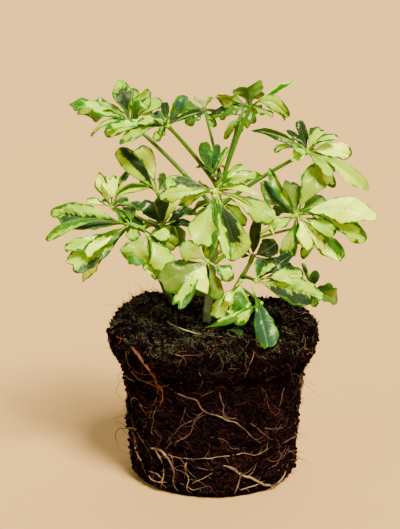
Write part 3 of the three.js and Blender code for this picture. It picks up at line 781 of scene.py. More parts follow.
# A hidden net: one root sways on its way down and two leave it to either side.
def drawnNet(middle):
    rule = netRule
    steps, sway, (least, more) = rule["steps"], rule["sway"], rule["drop"]
    trunk = [
        (middle + sway * (draw(middle + i) - 0.5), rule["top"] - rule["fall"] * i / steps)
        for i in range(steps + 1)
    ]
    roots = [(rule["trunkRadius"], trunk)]
    for k in range(rule["roots"] - 1):
        angle, height = trunk[1 + 2 * k]
        way = -1 if k % 2 else 1
        falls = [least + more * draw(middle + 7 * k + i) for i in range(steps)]
        turned = [angle + way * (rule["turn"] * i - rule["back"]) for i in range(steps)]
        levels = [height - i * fall for i, fall in enumerate(falls)]
        roots.append((rule["sideRadii"], list(zip(turned, levels))))
    return roots


# Roots that wander over the sides and the back: each walks a few steps, whose direction turns evenly.
def addWanderers(shape):
    rule, steps = wanderers, wanderers["steps"]
    rng = np.random.default_rng(rule["seed"])
    for i in range(rule["count"]):
        angle, height = rng.uniform(*rule["angles"]), rng.uniform(*rule["heights"])
        reach, bend = rng.uniform(*rule["length"]), rng.normal(0, rule["bend"])
        turn = rng.uniform(0, 2 * math.pi) + bend * np.arange(steps)
        angles = angle + np.cumsum(np.cos(turn)) * reach / steps * 1.15
        levels = np.clip(height + np.cumsum(np.sin(turn)) * reach / steps, 2, 88)
        radius = rng.uniform(*rule["radius"])
        addRoot(shape, radius, list(zip(angles, levels)), 150 + i, rng.uniform(*rule["rust"]), lift=0.7)


rootTones = {
    "tan": tone(128, 104, 68), "brown": tone(70, 42, 28), "rust": tone(94, 42, 5),
    "blotch": tone(36, 18, 12), "fleck": tone(176, 150, 110),
}


# Roots: the shade runs from cream-tan to rust, with brown blotches, pale flecks and a wrinkled skin.
def rootFinish():
    bark = Finish("rootBark", {"Roughness": 0.68, "Specular IOR Level": 0.35})
    place = bark.place()
    shade = bark.kept("shade", "Fac")
    colour = bark.mixed(bark.rise(shade, 0.02, 0.4), rootTones["tan"], rootTones["brown"])
    colour = bark.mixed(bark.rise(shade, 0.68, 0.86), colour, rootTones["rust"])
    colour = bark.mixed(bark.spots(place, 240, 0.46, 0.66, 4.0) * 0.7, colour, rootTones["blotch"])
    colour = bark.mixed(bark.spots(place, 600, 0.58, 0.72) * 0.15, colour, rootTones["fleck"])
    wrinkles = bark.bumped(bark.noise(place, 1100, 4.0), 0.0003)
    bark.dress({"Base Color": colour, "Normal": wrinkles})
    return bark


rootBark = rootFinish()
nets = [(name, net["roots"], net["rust"]) for name, net in rootNets.items()]
for number, (name, roots, rust) in enumerate(nets):
    shape = Shape()
    for i, (radius, points) in enumerate(roots):
        addRoot(shape, radius, points, 10 * number + i, rust)
    settle(shape.made(f"roots_{name}_fine"), rootBark, "root", f"roots_{name}")
for number, (name, middle) in enumerate(hiddenNets.items()):
    shape = Shape()
    for i, (radius, points) in enumerate(drawnNet(middle)):
        addRoot(shape, netRule["thin"] * radius, points, 70 + 10 * number + i, netRule["rust"])
    settle(shape.made(f"roots_{name}_fine"), rootBark, "root", f"roots_{name}")

shape = Shape()
for i, (radius, points) in enumerate(fineRoots):
    addRoot(shape, 0.85 * radius, points, 120 + i, 0.3 + 0.4 * draw(i), lift=0.8)
for i, (radius, points) in enumerate(strays):
    addRoot(shape, radius, points, 400 + i, 0.25 + 0.6 * draw(i), lift=0.6)
addWanderers(shape)
settle(shape.made("fineRoots"), rootBark, "root")

# Stems: points along each from its foot upwards, the radius at the foot and at the top, and the
# heights of knots where old leaves stood.
stems = {
    "main": {
        "points": [
            (-5, -6, 57), (-4, -7, 92), (-2, -6, 110), (0, -5, 127), (1, -4, 145), (2, -3, 162),
            (3.5, -2, 177),
        ],
        "radii": (2.9, 1.7), "knots": [98, 138],
    },
    "branch": {
        "points": [(-3, -7, 98), (8, -5, 105), (15.5, -8, 117.5), (20, -9, 126), (21.5, -9, 129)],
        "radii": (1.6, 1.1), "knots": [],
    },
    "left": {
        "points": [
            (-20, 19, 57), (-22, 17, 92), (-29, 12, 108), (-32, 7, 118), (-33, 1, 131), (-31, -4, 144),
            (-25.5, -7, 155),
        ],
        "radii": (1.8, 1.1), "knots": [104, 116],
    },
    "edge": {
        "points": [(44, 8, 57), (49, 10, 92), (53, 14, 98), (56, 17, 102)], "radii": (1.2, 0.9),
        "knots": [],
    },
}
stemLines = {name: smoothLine(stem["points"], 120) for name, stem in stems.items()}
stemSkin = {"sides": 20, "knot": (0.16, 1.3), "lumps": [(0.09, 2.6, 3), (0.05, 1.1, 4)]}


# The point of a stem's centre line at a height; the stems climb all the way.
def stemPoint(name, height):
    line = stemLines[name]
    return np.array([np.interp(height, line[:, 2], line[:, axis]) for axis in range(3)])


# A stem: its radius runs evenly from foot to top, swells in a low ring at every leaf's foot and every
# knot, has small lumps, and rounds off at the top as a circle does.
def addStem(shape, name, leafFeet):
    line, (foot, top) = stemLines[name], stems[name]["radii"]
    share = np.linspace(0, 1, len(line))
    radius = foot + (top - foot) * share
    swell, reach = stemSkin["knot"]
    for knot in leafFeet + stems[name]["knots"]:
        radius = radius * (1 + swell * np.exp(-((line[:, 2] - knot) / reach) ** 2))
    left = (line[-1, 2] - line[:, 2]) / top
    radius = radius * np.sqrt(np.clip(1 - (1 - np.minimum(left, 1)) ** 2, 0.02, 1))
    rings = tube(line, radius, stemSkin["sides"], up=(0, -1, 0))
    out = unit(rings - line[:, None])
    bumps = sum(height * lumps(rings, size, seed) for height, size, seed in stemSkin["lumps"])
    shape.addTubes(rings + out * bumps[..., None])


stemTones = {
    "mainBark": (tone(72, 82, 38), tone(84, 108, 30), tone(44, 58, 26)),
    "leftBark": (tone(40, 50, 24), tone(70, 110, 22), tone(26, 38, 14)),
    "blotch": tone(96, 108, 60), "dot": tone(160, 152, 104),
}


# Bark: from its low tone to its high one, with long streaks, pale blotches and pale corky dots.
def stemFinish(name):
    low, high, streak = stemTones[name]
    bark = Finish(name, {"Specular IOR Level": 0.5})
    place = bark.place()
    level = bark.parts(place)[2]
    streaks = bark.noise(bark.scaled(place, (1, 1, 0.12)), 900, 4.0)
    colour = bark.mixed(bark.rise(level + (streaks - 0.5) * 0.02, 0.092, 0.15), low, high)
    colour = bark.mixed(bark.rise(streaks, 0.45, 0.68) * 0.45, colour, streak)
    blotch = bark.spots(place, 240, 0.5, 0.68, 4.0)
    colour = bark.mixed(blotch * 0.25, colour, stemTones["blotch"])
    dots = bark.spots(bark.scaled(place, (1, 1, 0.6)), 1300, 0.68, 0.74, 1.0)
    colour = bark.mixed(dots * 0.4, colour, stemTones["dot"])
    bumps = bark.bumped(streaks + 0.8 * dots, 0.00025)
    bark.dress({"Base Color": colour, "Roughness": 0.36 + 0.3 * blotch, "Normal": bumps})
    return bark


# Colours of the leaves as they show in soft light.
tints = {
    "pale": tone(222, 252, 60), "cream": tone(166, 206, 16), "lightLime": tone(146, 176, 0),
    "oliveCream": tone(132, 160, 26), "olivePale": tone(90, 112, 26), "lime": tone(112, 156, 6),
    "yellow": tone(192, 226, 16), "olive": tone(64, 96, 12), "leafGreen": tone(36, 88, 6),
    "deepGreen": tone(18, 56, 10), "dark": tone(7, 34, 20), "greyGreen": tone(22, 62, 42),
    "stalkGreen": tone(54, 94, 10), "stalkLime": tone(130, 172, 20), "stalkYellow": tone(180, 196, 8),
}

# Looks of a leaflet: its ground, the patch on it with the place of its middle and its reach (along
# from 0 to 1, across from -1 to 1), and its rim, which is leaf green unless it has a tint of its own,
# with the width in millimetres.
looks = {
    "pale": {"ground": "pale", "rim": 0.6},
    "cream": {"ground": "cream", "rim": 0.7},
    "creamRim": {"ground": "cream", "rim": 1.27},
    "creamTip": {"ground": "cream", "patch": "leafGreen", "at": (1, 0, 0.22, 1.3), "rim": 0.99},
    "creamSpot": {"ground": "cream", "patch": "deepGreen", "at": (0.75, -0.5, 0.14, 0.3), "rim": 1.13},
    "creamBase": {"ground": "cream", "patch": "dark", "at": (0.44, 0.05, 0.34, 0.95), "rim": 0.59},
    "creamStripe": {"ground": "cream", "patch": "dark", "at": (0.5, 0.35, 0.52, 0.42), "rim": 0.32},
    "creamPatch": {"ground": "cream", "patch": "dark", "at": (0.52, -0.05, 0.3, 0.52), "rim": 0.32},
    "creamCentre": {"ground": "pale", "patch": "leafGreen", "at": (0.62, -0.18, 0.36, 0.52), "rim": 0.6},
    "creamGrey": {"ground": "cream", "patch": "dark", "at": (0.52, 0.35, 0.34, 0.6), "rim": 0.32},
    "creamLow": {"ground": "cream", "patch": "dark", "at": (0.45, -0.62, 0.6, 0.8), "rim": 0.73},
    "creamEdge": {
        "ground": "cream", "patch": "dark", "at": (0.8, -0.95, 0.4, 0.5),
        "rim": 0.7, "rimTint": "dark",
    },
    "creamHalf": {"ground": "pale", "patch": "leafGreen", "at": (0.78, -0.8, 0.42, 0.95), "rim": 0.46},
    "creamUnder": {"ground": "cream", "patch": "dark", "at": (0.5, 1.1, 1, 0.98), "rim": 0.6},
    "creamOver": {"ground": "cream", "patch": "leafGreen", "at": (0.5, -0.75, 0.9, 0.85), "rim": 0.73},
    "creamDark": {"ground": "cream", "patch": "dark", "at": (0.95, 0, 0.35, 1.2), "rim": 0.59},
    "limeBand": {
        "ground": "lightLime", "patch": "yellow", "at": (0.5, 0.8, 0.45, 0.5),
        "rim": 0.6, "rimTint": "lime",
    },
    "paleGrey": {"ground": "olivePale", "patch": "greyGreen", "at": (0.5, 0.1, 0.42, 0.4), "rim": 0.8},
    "olivePale": {"ground": "olivePale", "rim": 0.8},
    "oliveTip": {"ground": "oliveCream", "patch": "leafGreen", "at": (1, -0.4, 0.26, 0.8), "rim": 0.8},
    "oliveGrey": {"ground": "olive", "patch": "greyGreen", "at": (0.5, 0.1, 0.42, 0.6), "rim": 0.8},
    "lightLime": {"ground": "lightLime", "rim": 0.65},
    "limeRim": {"ground": "lightLime", "rim": 1.27},
    "oliveCream": {"ground": "oliveCream", "rim": 0.59},
    "oliveRim": {"ground": "oliveCream", "rim": 1.4},
    "lime": {"ground": "lime", "rim": 0.59},
    "limeFold": {"ground": "lightLime", "patch": "leafGreen", "at": (0.42, 0.5, 0.5, 0.8), "rim": 0.5},
    "curlGreen": {"ground": "lightLime", "patch": "leafGreen", "at": (0.55, -0.2, 0.36, 0.5), "rim": 0.6},
    "yellow": {"ground": "yellow"},
    "olive": {"ground": "olive", "rim": 0.59},
    "oliveDark": {"ground": "olive", "patch": "deepGreen", "at": (0.55, 0, 0.42, 0.5), "rim": 0.59},
    "green": {
        "ground": "leafGreen", "patch": "deepGreen", "at": (0.5, 0.2, 0.4, 0.5),
        "rim": 0.73, "rimTint": "lime",
    },
    "greenPale": {"ground": "leafGreen", "patch": "lightLime", "at": (0.55, 0.3, 0.4, 0.4), "rim": 0.46},
    "greenEdge": {"ground": "leafGreen", "rim": 0.55, "rimTint": "cream"},
    "dark": {"ground": "dark", "rim": 0.73, "rimTint": "deepGreen"},
    "darkLine": {
        "ground": "dark", "patch": "lime", "at": (0.5, 0.05, 0.3, 0.12),
        "rim": 0.46, "rimTint": "deepGreen",
    },
    "darkStripe": {
        "ground": "deepGreen", "patch": "cream", "at": (0.5, 0.25, 0.42, 0.3),
        "rim": 0.46, "rimTint": "lime",
    },
    "grey": {"ground": "greyGreen", "rim": 1.13},
    "greyDark": {"ground": "greyGreen", "patch": "dark", "at": (0.45, 0.3, 0.5, 0.6), "rim": 0.73},
    "greyBase": {"ground": "greyGreen", "patch": "cream", "at": (0.3, 0.25, 0.1, 0.08), "rim": 1.0},
}

# Most leaflets that lean back face up, and a little towards the viewer.
backward = (0, -0.25, 1)

# Compound leaves. Each grows from a stem at a height, ends in a hub, faces one way, and has a petiole
# of a radius. A leaflet is its bearing as seen from the front (0 right, 90 up), its lean towards the
# viewer, its length, its width and its look, and then what it doesn't share or draw: none lists the
# traits that it hasn't got, face is where it faces, or up how far it faces up where it faces the
# viewer, shift moves its foot from the hub, roll turns it about its rib, and cuts are notches in an
# edge, each a place along it, a side, a depth and a width. The others are as in drawn.
leaves = {
    "upper_left": {
        "from": ("main", 156), "hub": (-46.5, 5, 204.4), "facing": (-0.2, -0.5, 0.9), "petiole": 1.15,
        "leaflets": [
            (163, 5, 37, 9, "creamTip", dict(none="bend droop sag", arch=0.08, twist=0.3, fold=0.3,
                point=0.75, broadest=0.8, lobe=0.5, jag=0.4)),
            (169, -8, 33, 9, "oliveCream", dict(none="sag", arch=0.08, twist=0.2, fold=0.3, point=0.5,
                broadest=0.8, lobe=0.5, jag=0.4)),
            (187, 15, 24, 7, "creamRim", dict(arch=0.16, bend=-0.1, sag=0.12, lobe=0.4)),
            (178, 35, 15, 4.5, "cream"),
            (106, -5, 25.5, 10.4, "creamBase", dict(none="bend droop sag", up=0.2, twist=0.1, fold=0.1,
                lobe=0.15)),
            (86, -22, 22, 6, "oliveCream", dict(up=0.3, cup=-0.4)),
            (64, -15, 23, 7.5, "lightLime", dict(face=(0.2, -1, 0.3), lobe=0.6)),
            (38, -20, 24, 6, "lightLime", dict(up=0.5, lobe=0.6)),
            (50, 35, 14, 10, "green", dict(arch=0.12, roll=40)),
            (70, 5, 19, 3, "green", dict(bend=0.2, fold=0.3)),
            (148, -10, 24, 9.5, "oliveCream", dict(none="sag", bend=-0.1, lobe=0.5, jag=0.3)),
            (150, -65, 26, 8, "creamRim", dict(face=backward)),
            (20, -60, 24, 8, "oliveCream", dict(face=backward)),
        ],
    },
    "upper_middle": {
        "from": ("main", 169), "hub": (-25.6, -8, 204.4), "facing": (-0.2, -0.6, 0.8), "petiole": 1.15,
        "leaflets": [
            (184, 5, 36, 5.8, "creamRim", dict(none="sag", arch=0.1, droop=0.02, twist=0.2, fold=0.4,
                point=0.4, jag=0.3)),
            (196, 12, 29, 6, "limeRim", dict(arch=0.12, droop=0.02, sag=0.02, twist=0.2, fold=0.3)),
            (174, 15, 17.5, 5.6, "cream", dict(arch=0.12, lobe=0.4)),
            (191, -12, 38, 7.5, "cream", dict(droop=0.02, sag=0.02, point=0.3, lobe=0.4)),
            (138, 30, 10, 6, "lime", dict(lobe=0.5)), (226, 45, 12, 7, "lightLime", dict(cup=-0.4)),
            (97, 0, 13, 3.8, "dark", dict(none="bend sag twist point", up=0.3, lobe=0.08)),
            (60, 0, 20, 5.6, "grey", dict(none="bend sag twist point", up=0.3, fold=0.1, tip=-0.03,
                broadest=0.85, lobe=0.08)),
            (26, 5, 23, 4.4, "darkLine", dict(none="sag twist", up=0.6, arch=0.08, bend=0.05, fold=0.25)),
            (215, 62, 9, 5, "limeRim"), (95, 45, 7, 5, "lime", dict(lobe=0.5)),
            (150, -68, 25, 7, "oliveDark", dict(face=backward)),
            (30, -62, 24, 7, "green", dict(face=backward)),
        ],
    },
    "tall_left": {
        "from": ("left", 151), "hub": (-31.9, 5, 164.5), "facing": (0.1, -1, 0.1), "petiole": 0.9,
        "leaflets": [
            (127, 5, 35.5, 9.6, "creamStripe", dict(none="droop twist", face=(-0.1, -1, 0.5), bend=-0.06,
                fold=0.12, cup=-0.3, point=0.2, lobe=0.2)),
            (105, -8, 30, 10.6, "pale", dict(none="droop twist", face=(0.2, -1, 0.8), bend=-0.14, fold=0.08,
                cup=-0.3, point=0.1, lobe=0.12)),
            (150, -50, 20, 8, "olive"), (60, -60, 18, 8, "olive"),
        ],
    },
    "far_left": {
        "from": ("left", 146), "hub": (-57.2, -5, 158.2), "facing": (-0.3, -0.7, 0.6), "petiole": 0.9,
        "leaflets": [
            (162, 0, 15, 5.4, "pale", dict(none="sag", face=(-0.3, -1, 0.4), lobe=0.6, jag=0.3)),
            (121, 0, 21, 7, "pale", dict(none="droop sag", face=(-0.4, -1, 0.3), bend=0.24, fold=0.3,
                point=0.6, lobe=0.3)),
            (95, -8, 18, 8, "pale", dict(none="bend droop sag point", face=(0.2, -1, 0.2), fold=0.3,
                tip=-0.1, lobe=0.4, jag=0.3)),
            (70, -35, 28, 4, "green"),
            (62, 5, 25, 5.4, "darkStripe", dict(none="droop twist", arch=0.1, bend=0.62, sag=0.1,
                fold=0.35)),
            (12, -10, 18, 6, "creamDark", dict(lobe=0.4)),
            (-40, 0, 21, 8.6, "oliveGrey", dict(none="bend sag twist", fold=0.25)),
            (-45, 12, 13, 5, "limeFold", dict(none="bend sag", fold=0.4)),
            (160, -62, 18, 6, "green", dict(face=backward)),
            (20, -66, 18, 6, "oliveDark", dict(face=backward)),
        ],
    },
    "lower_left": {
        "from": ("left", 139), "hub": (-46.1, -15, 149.9), "facing": (-0.2, -0.75, 0.6), "petiole": 1,
        "leaflets": [
            (168, 8, 46, 13.4, "creamLow", dict(none="sag twist", face=(-0.1, -1, 0.15), arch=0.06,
                bend=-0.03, droop=0.05, fold=0.1, wave=0.12, point=0.5, lobe=0.15,
                cuts=[(0.9, -1, 0.5, 0.06)])),
            (167, 22, 49, 5.4, "limeFold", dict(none="bend", arch=0.05, sag=0.27, twist=0.3, fold=0.3,
                wave=0.15, point=0.3, broadest=1.7, lobe=0.1)),
            (199, 18, 40, 7.6, "creamRim", dict(none="bend droop point", up=0.6, sag=0.02, broadest=1.7,
                lobe=0.5)),
            (207, 28, 32, 7, "pale", dict(none="bend droop point", up=0.6, sag=0.02, broadest=1.7,
                lobe=0.4)),
            (212, 16, 43, 13, "creamEdge", dict(none="droop sag twist point", face=(-0.1, -1, 0.8),
                arch=0.04, bend=-0.02, fold=0.08, wave=0.15, cup=-0.2, tip=-0.05, broadest=0.9, lobe=0.12)),
            (224, -18, 47, 8, "pale", dict(none="droop sag twist", up=0.7, bend=-0.15, point=0.8,
                lobe=0.15)),
            (232, -22, 34, 5, "limeRim", dict(none="bend droop sag")), (285, 50, 11, 7, "lightLime"),
            (204, 32, 25, 7.5, "olive", dict(none="bend sag", up=0.3, fold=0.2)),
            (150, -58, 30, 9, "creamPatch", dict(face=backward)),
            (95, -70, 26, 8, "olive", dict(face=backward)),
        ],
    },
    "left_tip": {
        "from": ("left", 153), "hub": (-29, -11, 148.5), "facing": (0, -1, 0.3), "petiole": 0.9,
        "leaflets": [
            (106, 15, 19, 13.4, "dark", dict(none="bend sag twist point", fold=0.08, tip=-0.14,
                broadest=0.9, lobe=0.1)),
            (31, 0, 18, 4.8, "dark", dict(none="twist", lobe=0.1)),
            (8, -10, 17, 5, "dark", dict(none="twist", lobe=0.1)), (75, -15, 18, 4, "cream", dict(up=0.6)),
            (60, 5, 19, 3.4, "yellow", dict(up=0.6)),
        ],
    },
    "front_left": {
        "from": ("left", 131), "hub": (-36.8, -28, 146.8), "facing": (0, -0.85, 0.5), "petiole": 0.9,
        "leaflets": [
            (236, 15, 17.5, 13.5, "oliveTip", dict(none="droop twist", fold=0.1, cup=-0.35, lobe=0.3)),
            (244, -5, 20, 6.5, "lightLime", dict(none="bend sag point", tip=-0.14)),
            (283, 5, 26, 10, "cream", dict(none="bend sag", fold=0.1)),
            (303, 14, 23.5, 13.5, "cream", dict(none="twist", fold=0.1, cup=-0.4, lobe=0.2)),
            (0, 5, 13, 7, "cream"), (-24, -18, 20, 8.6, "oliveCream", dict(none="bend sag")),
            (150, -60, 16, 7, "oliveCream", dict(face=backward)),
        ],
    },
    "front": {
        "from": ("main", 150), "hub": (0.5, -28, 171.2), "facing": (0, -0.9, 0.45), "petiole": 1.2,
        "stalk": "stalkYellow",
        "leaflets": [
            (181, 5, 31, 8, "cream", dict(arch=0.1, bend=-0.04, sag=0.02, twist=0.1, fold=0.1, cup=-0.3,
                point=0.3, lobe=0.3)),
            (202, -6, 22, 5.5, "cream", dict(up=0.8, fold=0.1)),
            (251, 15, 31, 14, "cream", dict(bend=-0.08, droop=0.1, twist=0.2, fold=0.3, cup=-0.35,
                point=0.1, lobe=0.12)),
            (266, 12, 38, 7.6, "curlGreen", dict(none="sag", bend=0.03, fold=0.2, wave=0.3, point=0.2)),
            (281, 12, 38, 6, "cream", dict(none="bend point", face=(-0.3, -1, 0.4), fold=0.25, lobe=0.25)),
            (294, 8, 37, 14.6, "creamPatch", dict(none="twist", bend=0.04, fold=0.08, cup=-0.25, point=0.1,
                lobe=0.12)),
            (342, 4, 35, 9.5, "lightLime", dict(bend=0.1, twist=-0.2, fold=0.12, cup=-0.3, point=0.1,
                lobe=0.15)),
            (338, -3, 36, 3, "yellow", dict(none="bend droop twist", up=1.2, sag=0.36, fold=0.1, lobe=0.1)),
            (36, 0, 26, 6.2, "limeRim", dict(none="droop sag", arch=0.12, bend=0.36, twist=0.1, fold=0.4)),
            (22, 8, 24, 3, "yellow", dict(none="twist", up=0.7, arch=0.05, bend=0.4, sag=0.1, fold=0.1,
                lobe=0.1)),
            (50, -5, 21, 5.6, "creamRim", dict(arch=0.12, bend=0.1, fold=0.4)),
            (163, 5, 27.5, 8, "creamGrey", dict(none="sag twist", arch=0.06, bend=-0.1, fold=0.1,
                cup=-0.3)),
            (7, 6, 17, 4.4, "limeRim", dict(none="sag", fold=0.4)),
        ],
    },
    "crown": {
        "from": ("main", 175), "hub": (-0.5, -11, 177), "facing": (0, -0.95, 0.2), "petiole": 0.9,
        "stalk": "stalkGreen",
        "leaflets": [
            (113, 0, 20, 5.6, "grey", dict(none="sag twist point", bend=0.14, fold=0.08, tip=-0.02,
                broadest=0.85, lobe=0.06)),
            (82, -3, 18, 3.9, "grey", dict(none="bend sag twist", fold=0.2, point=0.2, lobe=0.06)),
            (98, -25, 13, 4, "dark", dict(none="twist", lobe=0.08)),
            (62, 0, 18, 3.2, "greenPale", dict(none="sag twist")),
            (150, -60, 16, 5, "green", dict(face=backward)),
            (30, -60, 16, 5, "oliveCream", dict(face=backward)),
        ],
    },
    "back_left": {
        "from": ("main", 176), "hub": (-5.3, 45, 207.9), "facing": (0, 0.3, 0.9), "petiole": 0.9,
        "stalk": "stalkGreen",
        "leaflets": [
            (222, 25, 15, 8, "olive", dict(up=0.5)), (300, 25, 13, 5, "oliveCream", dict(up=0.5)),
            (60, 0, 9, 3, "green"), (178, 0, 14, 6, "olive", dict(up=0.7)), (200, -50, 17, 8, "olive"),
            (330, -55, 17, 8, "olive"), (110, -70, 18, 8, "oliveCream"),
        ],
    },
    "back_right": {
        "from": ("main", 161), "hub": (16.4, 40, 204.9), "facing": (0, 0.3, 0.9), "petiole": 0.9,
        "stalk": "stalkGreen",
        "leaflets": [
            (228, 10, 15, 4.2, "oliveCream", dict(up=0.5, sag=0.2)),
            (256, 30, 12, 5, "oliveCream", dict(up=0.5, sag=0.2)), (182, 12, 19, 5, "olive", dict(up=0.7)),
            (20, -40, 16, 8, "oliveCream"), (60, -65, 18, 8, "olive"), (300, -50, 13, 6, "oliveCream"),
        ],
    },
    "top_right": {
        "from": ("main", 165), "hub": (20.3, 5, 213.4), "facing": (0, 0.1, 1), "petiole": 1.05,
        "stalk": "stalkGreen",
        "leaflets": [
            (92, 12, 13, 12.5, "oliveDark", dict(none="twist point", face=(0.1, 1, 0.3), bend=0.1, fold=0.2,
                cup=0.1, broadest=1.2, lobe=0.25)),
            (160, 5, 21, 8, "oliveCream", dict(face=(-0.2, 1, 0.6), fold=0.3, lobe=0.6)),
            (184, -8, 22, 4, "dark", dict(none="twist", up=1, arch=0.08)),
            (28, 0, 30, 3.4, "greenEdge", dict(none="droop sag", face=(-0.2, -1, 0.6), arch=0.03,
                bend=-0.05, twist=0.6, fold=0.4, lobe=0.4)),
            (16, 8, 22, 6.6, "lightLime", dict(up=0.9, arch=0.2, bend=0.1, sag=0.4, lobe=0.4)),
            (-14, 20, 15, 5, "oliveCream", dict(up=0.7, lobe=0.5)),
            (282, 30, 10, 4.5, "olive", dict(up=0.5)), (192, 5, 18, 5.5, "olive", dict(up=0.9)),
            (58, -64, 18, 9, "olive", dict(face=(0, 0.6, 1))),
            (130, -66, 18, 9, "olive", dict(face=(0, 0.6, 1))),
            (8, 12, 20, 4.4, "limeRim", dict(arch=0.2, sag=0.45, fold=0.3)),
        ],
    },
    "upper_right": {
        "from": ("main", 157), "hub": (52.5, -5, 189.4), "facing": (0.3, -0.6, 0.8), "petiole": 1.1,
        "leaflets": [
            (156, 0, 34, 5.6, "darkLine", dict(none="bend sag twist", up=0.6, arch=0.12, fold=0.3,
                point=0.7, lobe=0.08)),
            (106, -8, 18.5, 5, "dark", dict(none="bend sag twist point", up=0.2, broadest=0.9, lobe=0.08)),
            (128, -20, 19, 3.2, "dark", dict(up=0.4)),
            (174, 10, 19, 5.4, "creamRim", dict(arch=0.14, sag=0.1)),
            (150, 35, 12, 7, "limeFold", dict(lobe=0.5)), (193, 35, 12, 6.5, "yellow"),
            (64, -8, 17, 8, "creamEdge", dict(face=(-0.2, -1, 0.3), bend=0.1, twist=0.2, tip=-0.1,
                lobe=0.3)),
            (-2, 5, 24, 10.4, "pale", dict(up=0.9, arch=0.12, sag=0.06, lobe=0.2)),
            (-29, 10, 40, 9.2, "limeBand", dict(face=(0.2, -1, 0.5), arch=0.14, bend=-0.06, sag=0.02,
                twist=0.2, fold=0.2, point=0.4, lobe=0.3)),
            (-43, 28, 21, 10, "lightLime", dict(up=0.6, tip=-0.1, lobe=0.5)),
            (-50, -6, 25, 6.4, "pale", dict(up=0.6)), (140, -64, 26, 8, "oliveCream", dict(face=backward)),
            (20, -60, 28, 9, "creamRim", dict(face=backward)),
            (330, -60, 24, 8, "oliveDark", dict(face=backward)),
            (40, 8, 19, 4.6, "creamEdge", dict(none="sag", arch=0.2, bend=0.2, fold=0.3)),
        ],
    },
    "right": {
        "from": ("main", 126), "hub": (46.3, -10, 154.6), "facing": (0.15, -0.85, 0.5), "petiole": 1.2,
        "petioleTint": "stalkLime",
        "leaflets": [
            (10, 10, 45, 12.8, "pale", dict(arch=0.14, bend=0.07, droop=0.05, sag=0.1, twist=0.1, fold=0.12,
                cup=-0.35, point=0.3, lobe=0.18, cuts=[(0.86, 1, 0.35, 0.1)])),
            (-4, 4, 38.5, 8.8, "creamRim", dict(none="droop point", up=1, arch=0.1, bend=0.04, sag=0.3,
                fold=0.1, broadest=1.3)),
            (70, 0, 31, 12, "oliveCream", dict(twist=-0.2, fold=0.12, cup=-0.3, lobe=0.15)),
            (118, 5, 33, 6, "oliveRim", dict(none="twist", face=(-0.4, -1, 0.3), fold=0.4, lobe=0.1)),
            (141, -5, 28, 8.4, "paleGrey"), (104, -25, 23, 9, "olivePale"), (90, -40, 24, 7, "olive"),
            (-18, 24, 25, 7, "cream", dict(lobe=0.3)),
            (-47, 5, 35, 9, "creamHalf", dict(none="point", up=0.3, fold=0.35, lobe=0.12)),
            (-62, 22, 20.5, 10.4, "pale", dict(fold=0.08, cup=-0.4, lobe=0.3)),
            (257, 5, 26, 8.2, "oliveRim"), (211, 0, 18, 6, "cream"), (160, -30, 16, 7, "olive"),
            (268, -14, 28, 3.4, "greenEdge", dict(none="sag")),
            (276, -5, 18, 5, "oliveDark", dict(none="sag")),
            (150, -62, 24, 9, "oliveDark", dict(face=backward)),
            (33, -30, 22, 8, "lime", dict(none="sag", up=0.5)),
        ],
    },
    "front_low": {
        "from": ("main", 112), "hub": (-3.9, -34, 133.5), "facing": (0, -0.85, 0.5), "petiole": 1,
        "leaflets": [
            (148, 10, 18, 9, "oliveCream", dict(none="bend sag", fold=0.1, lobe=0.1)),
            (204, 8, 29, 14.5, "olivePale", dict(none="twist point", sag=0.02, fold=0.08, wave=0.3,
                cup=-0.35, tip=-0.05, lobe=0.2)),
            (235, 24, 33, 9, "creamSpot", dict(none="droop sag", cup=-0.4, tip=-0.1, lobe=0.35)),
            (255, -10, 21, 10, "olive"),
            (246, 34, 17.5, 11.4, "pale", dict(none="twist point", fold=0.1, cup=-0.35, lobe=0.2)),
            (-31, 10, 17, 8.6, "creamRim", dict(none="twist", fold=0.1, cup=-0.35, lobe=0.2)),
            (-70, 5, 23, 9, "olivePale", dict(none="sag", fold=0.15)),
        ],
    },
    "branch_tip": {
        "from": ("branch", 127.5), "hub": (22, -10, 131), "facing": (0, -1, 0.25), "petiole": 0.9,
        "stalk": "stalkGreen",
        "leaflets": [
            (85, 18, 28, 5.2, "dark", dict(none="arch bend droop sag twist point", fold=0.12, broadest=0.6,
                lobe=0.06)),
            (30, 14, 16, 9, "dark", dict(none="sag twist point", face=(-0.3, -1, -0.3), fold=0.02,
                lobe=0.08)),
            (135, 0, 14, 5, "dark"), (178, -15, 11, 4, "greyDark"),
            (-15, 5, 23, 6.4, "dark", dict(none="sag twist", fold=0.2, point=0.3, lobe=0.1)),
        ],
    },
    "low_right": {
        "from": ("branch", 119), "hub": (23.5, -22, 119.5), "facing": (0.1, -0.8, 0.6), "petiole": 1,
        "leaflets": [
            (52, 0, 15, 5, "creamEdge"),
            (16, 6, 27, 11, "creamEdge", dict(none="sag twist", up=0.5, fold=0.2)),
            (33, -10, 26, 7, "dark", dict(none="twist", fold=0.2)),
            (-11, 13, 39.5, 12.5, "creamUnder", dict(none="bend droop sag twist", up=0.15, arch=0.02,
                fold=0.1, wave=0.12, point=0.5, broadest=0.8, lobe=0.12)),
            (60, -60, 22, 8, "green", dict(face=backward)),
        ],
    },
    "low_front": {
        "from": ("branch", 113), "hub": (26, -31, 109), "facing": (-0.2, -0.7, 0.7), "petiole": 0.9,
        "leaflets": [
            (-65, 44, 38.5, 9.2, "greyBase", dict(none="sag twist point", face=(-0.1, -1, 0.1),
                shift=(-5.1, -0.5, 9.2), bend=0.12, droop=0.05, fold=0.12, tip=-0.02, broadest=1.15,
                lobe=0.06)),
            (214, 18, 33, 4.8, "creamOver", dict(none="droop sag", arch=0.06, bend=0.28, fold=0.3,
                point=0.9, broadest=0.65, lobe=0.08)),
            (220, 24, 19, 6.4, "creamRim", dict(none="droop sag", bend=0.1, fold=0.2, point=0.3)),
        ],
    },
    "low_middle": {
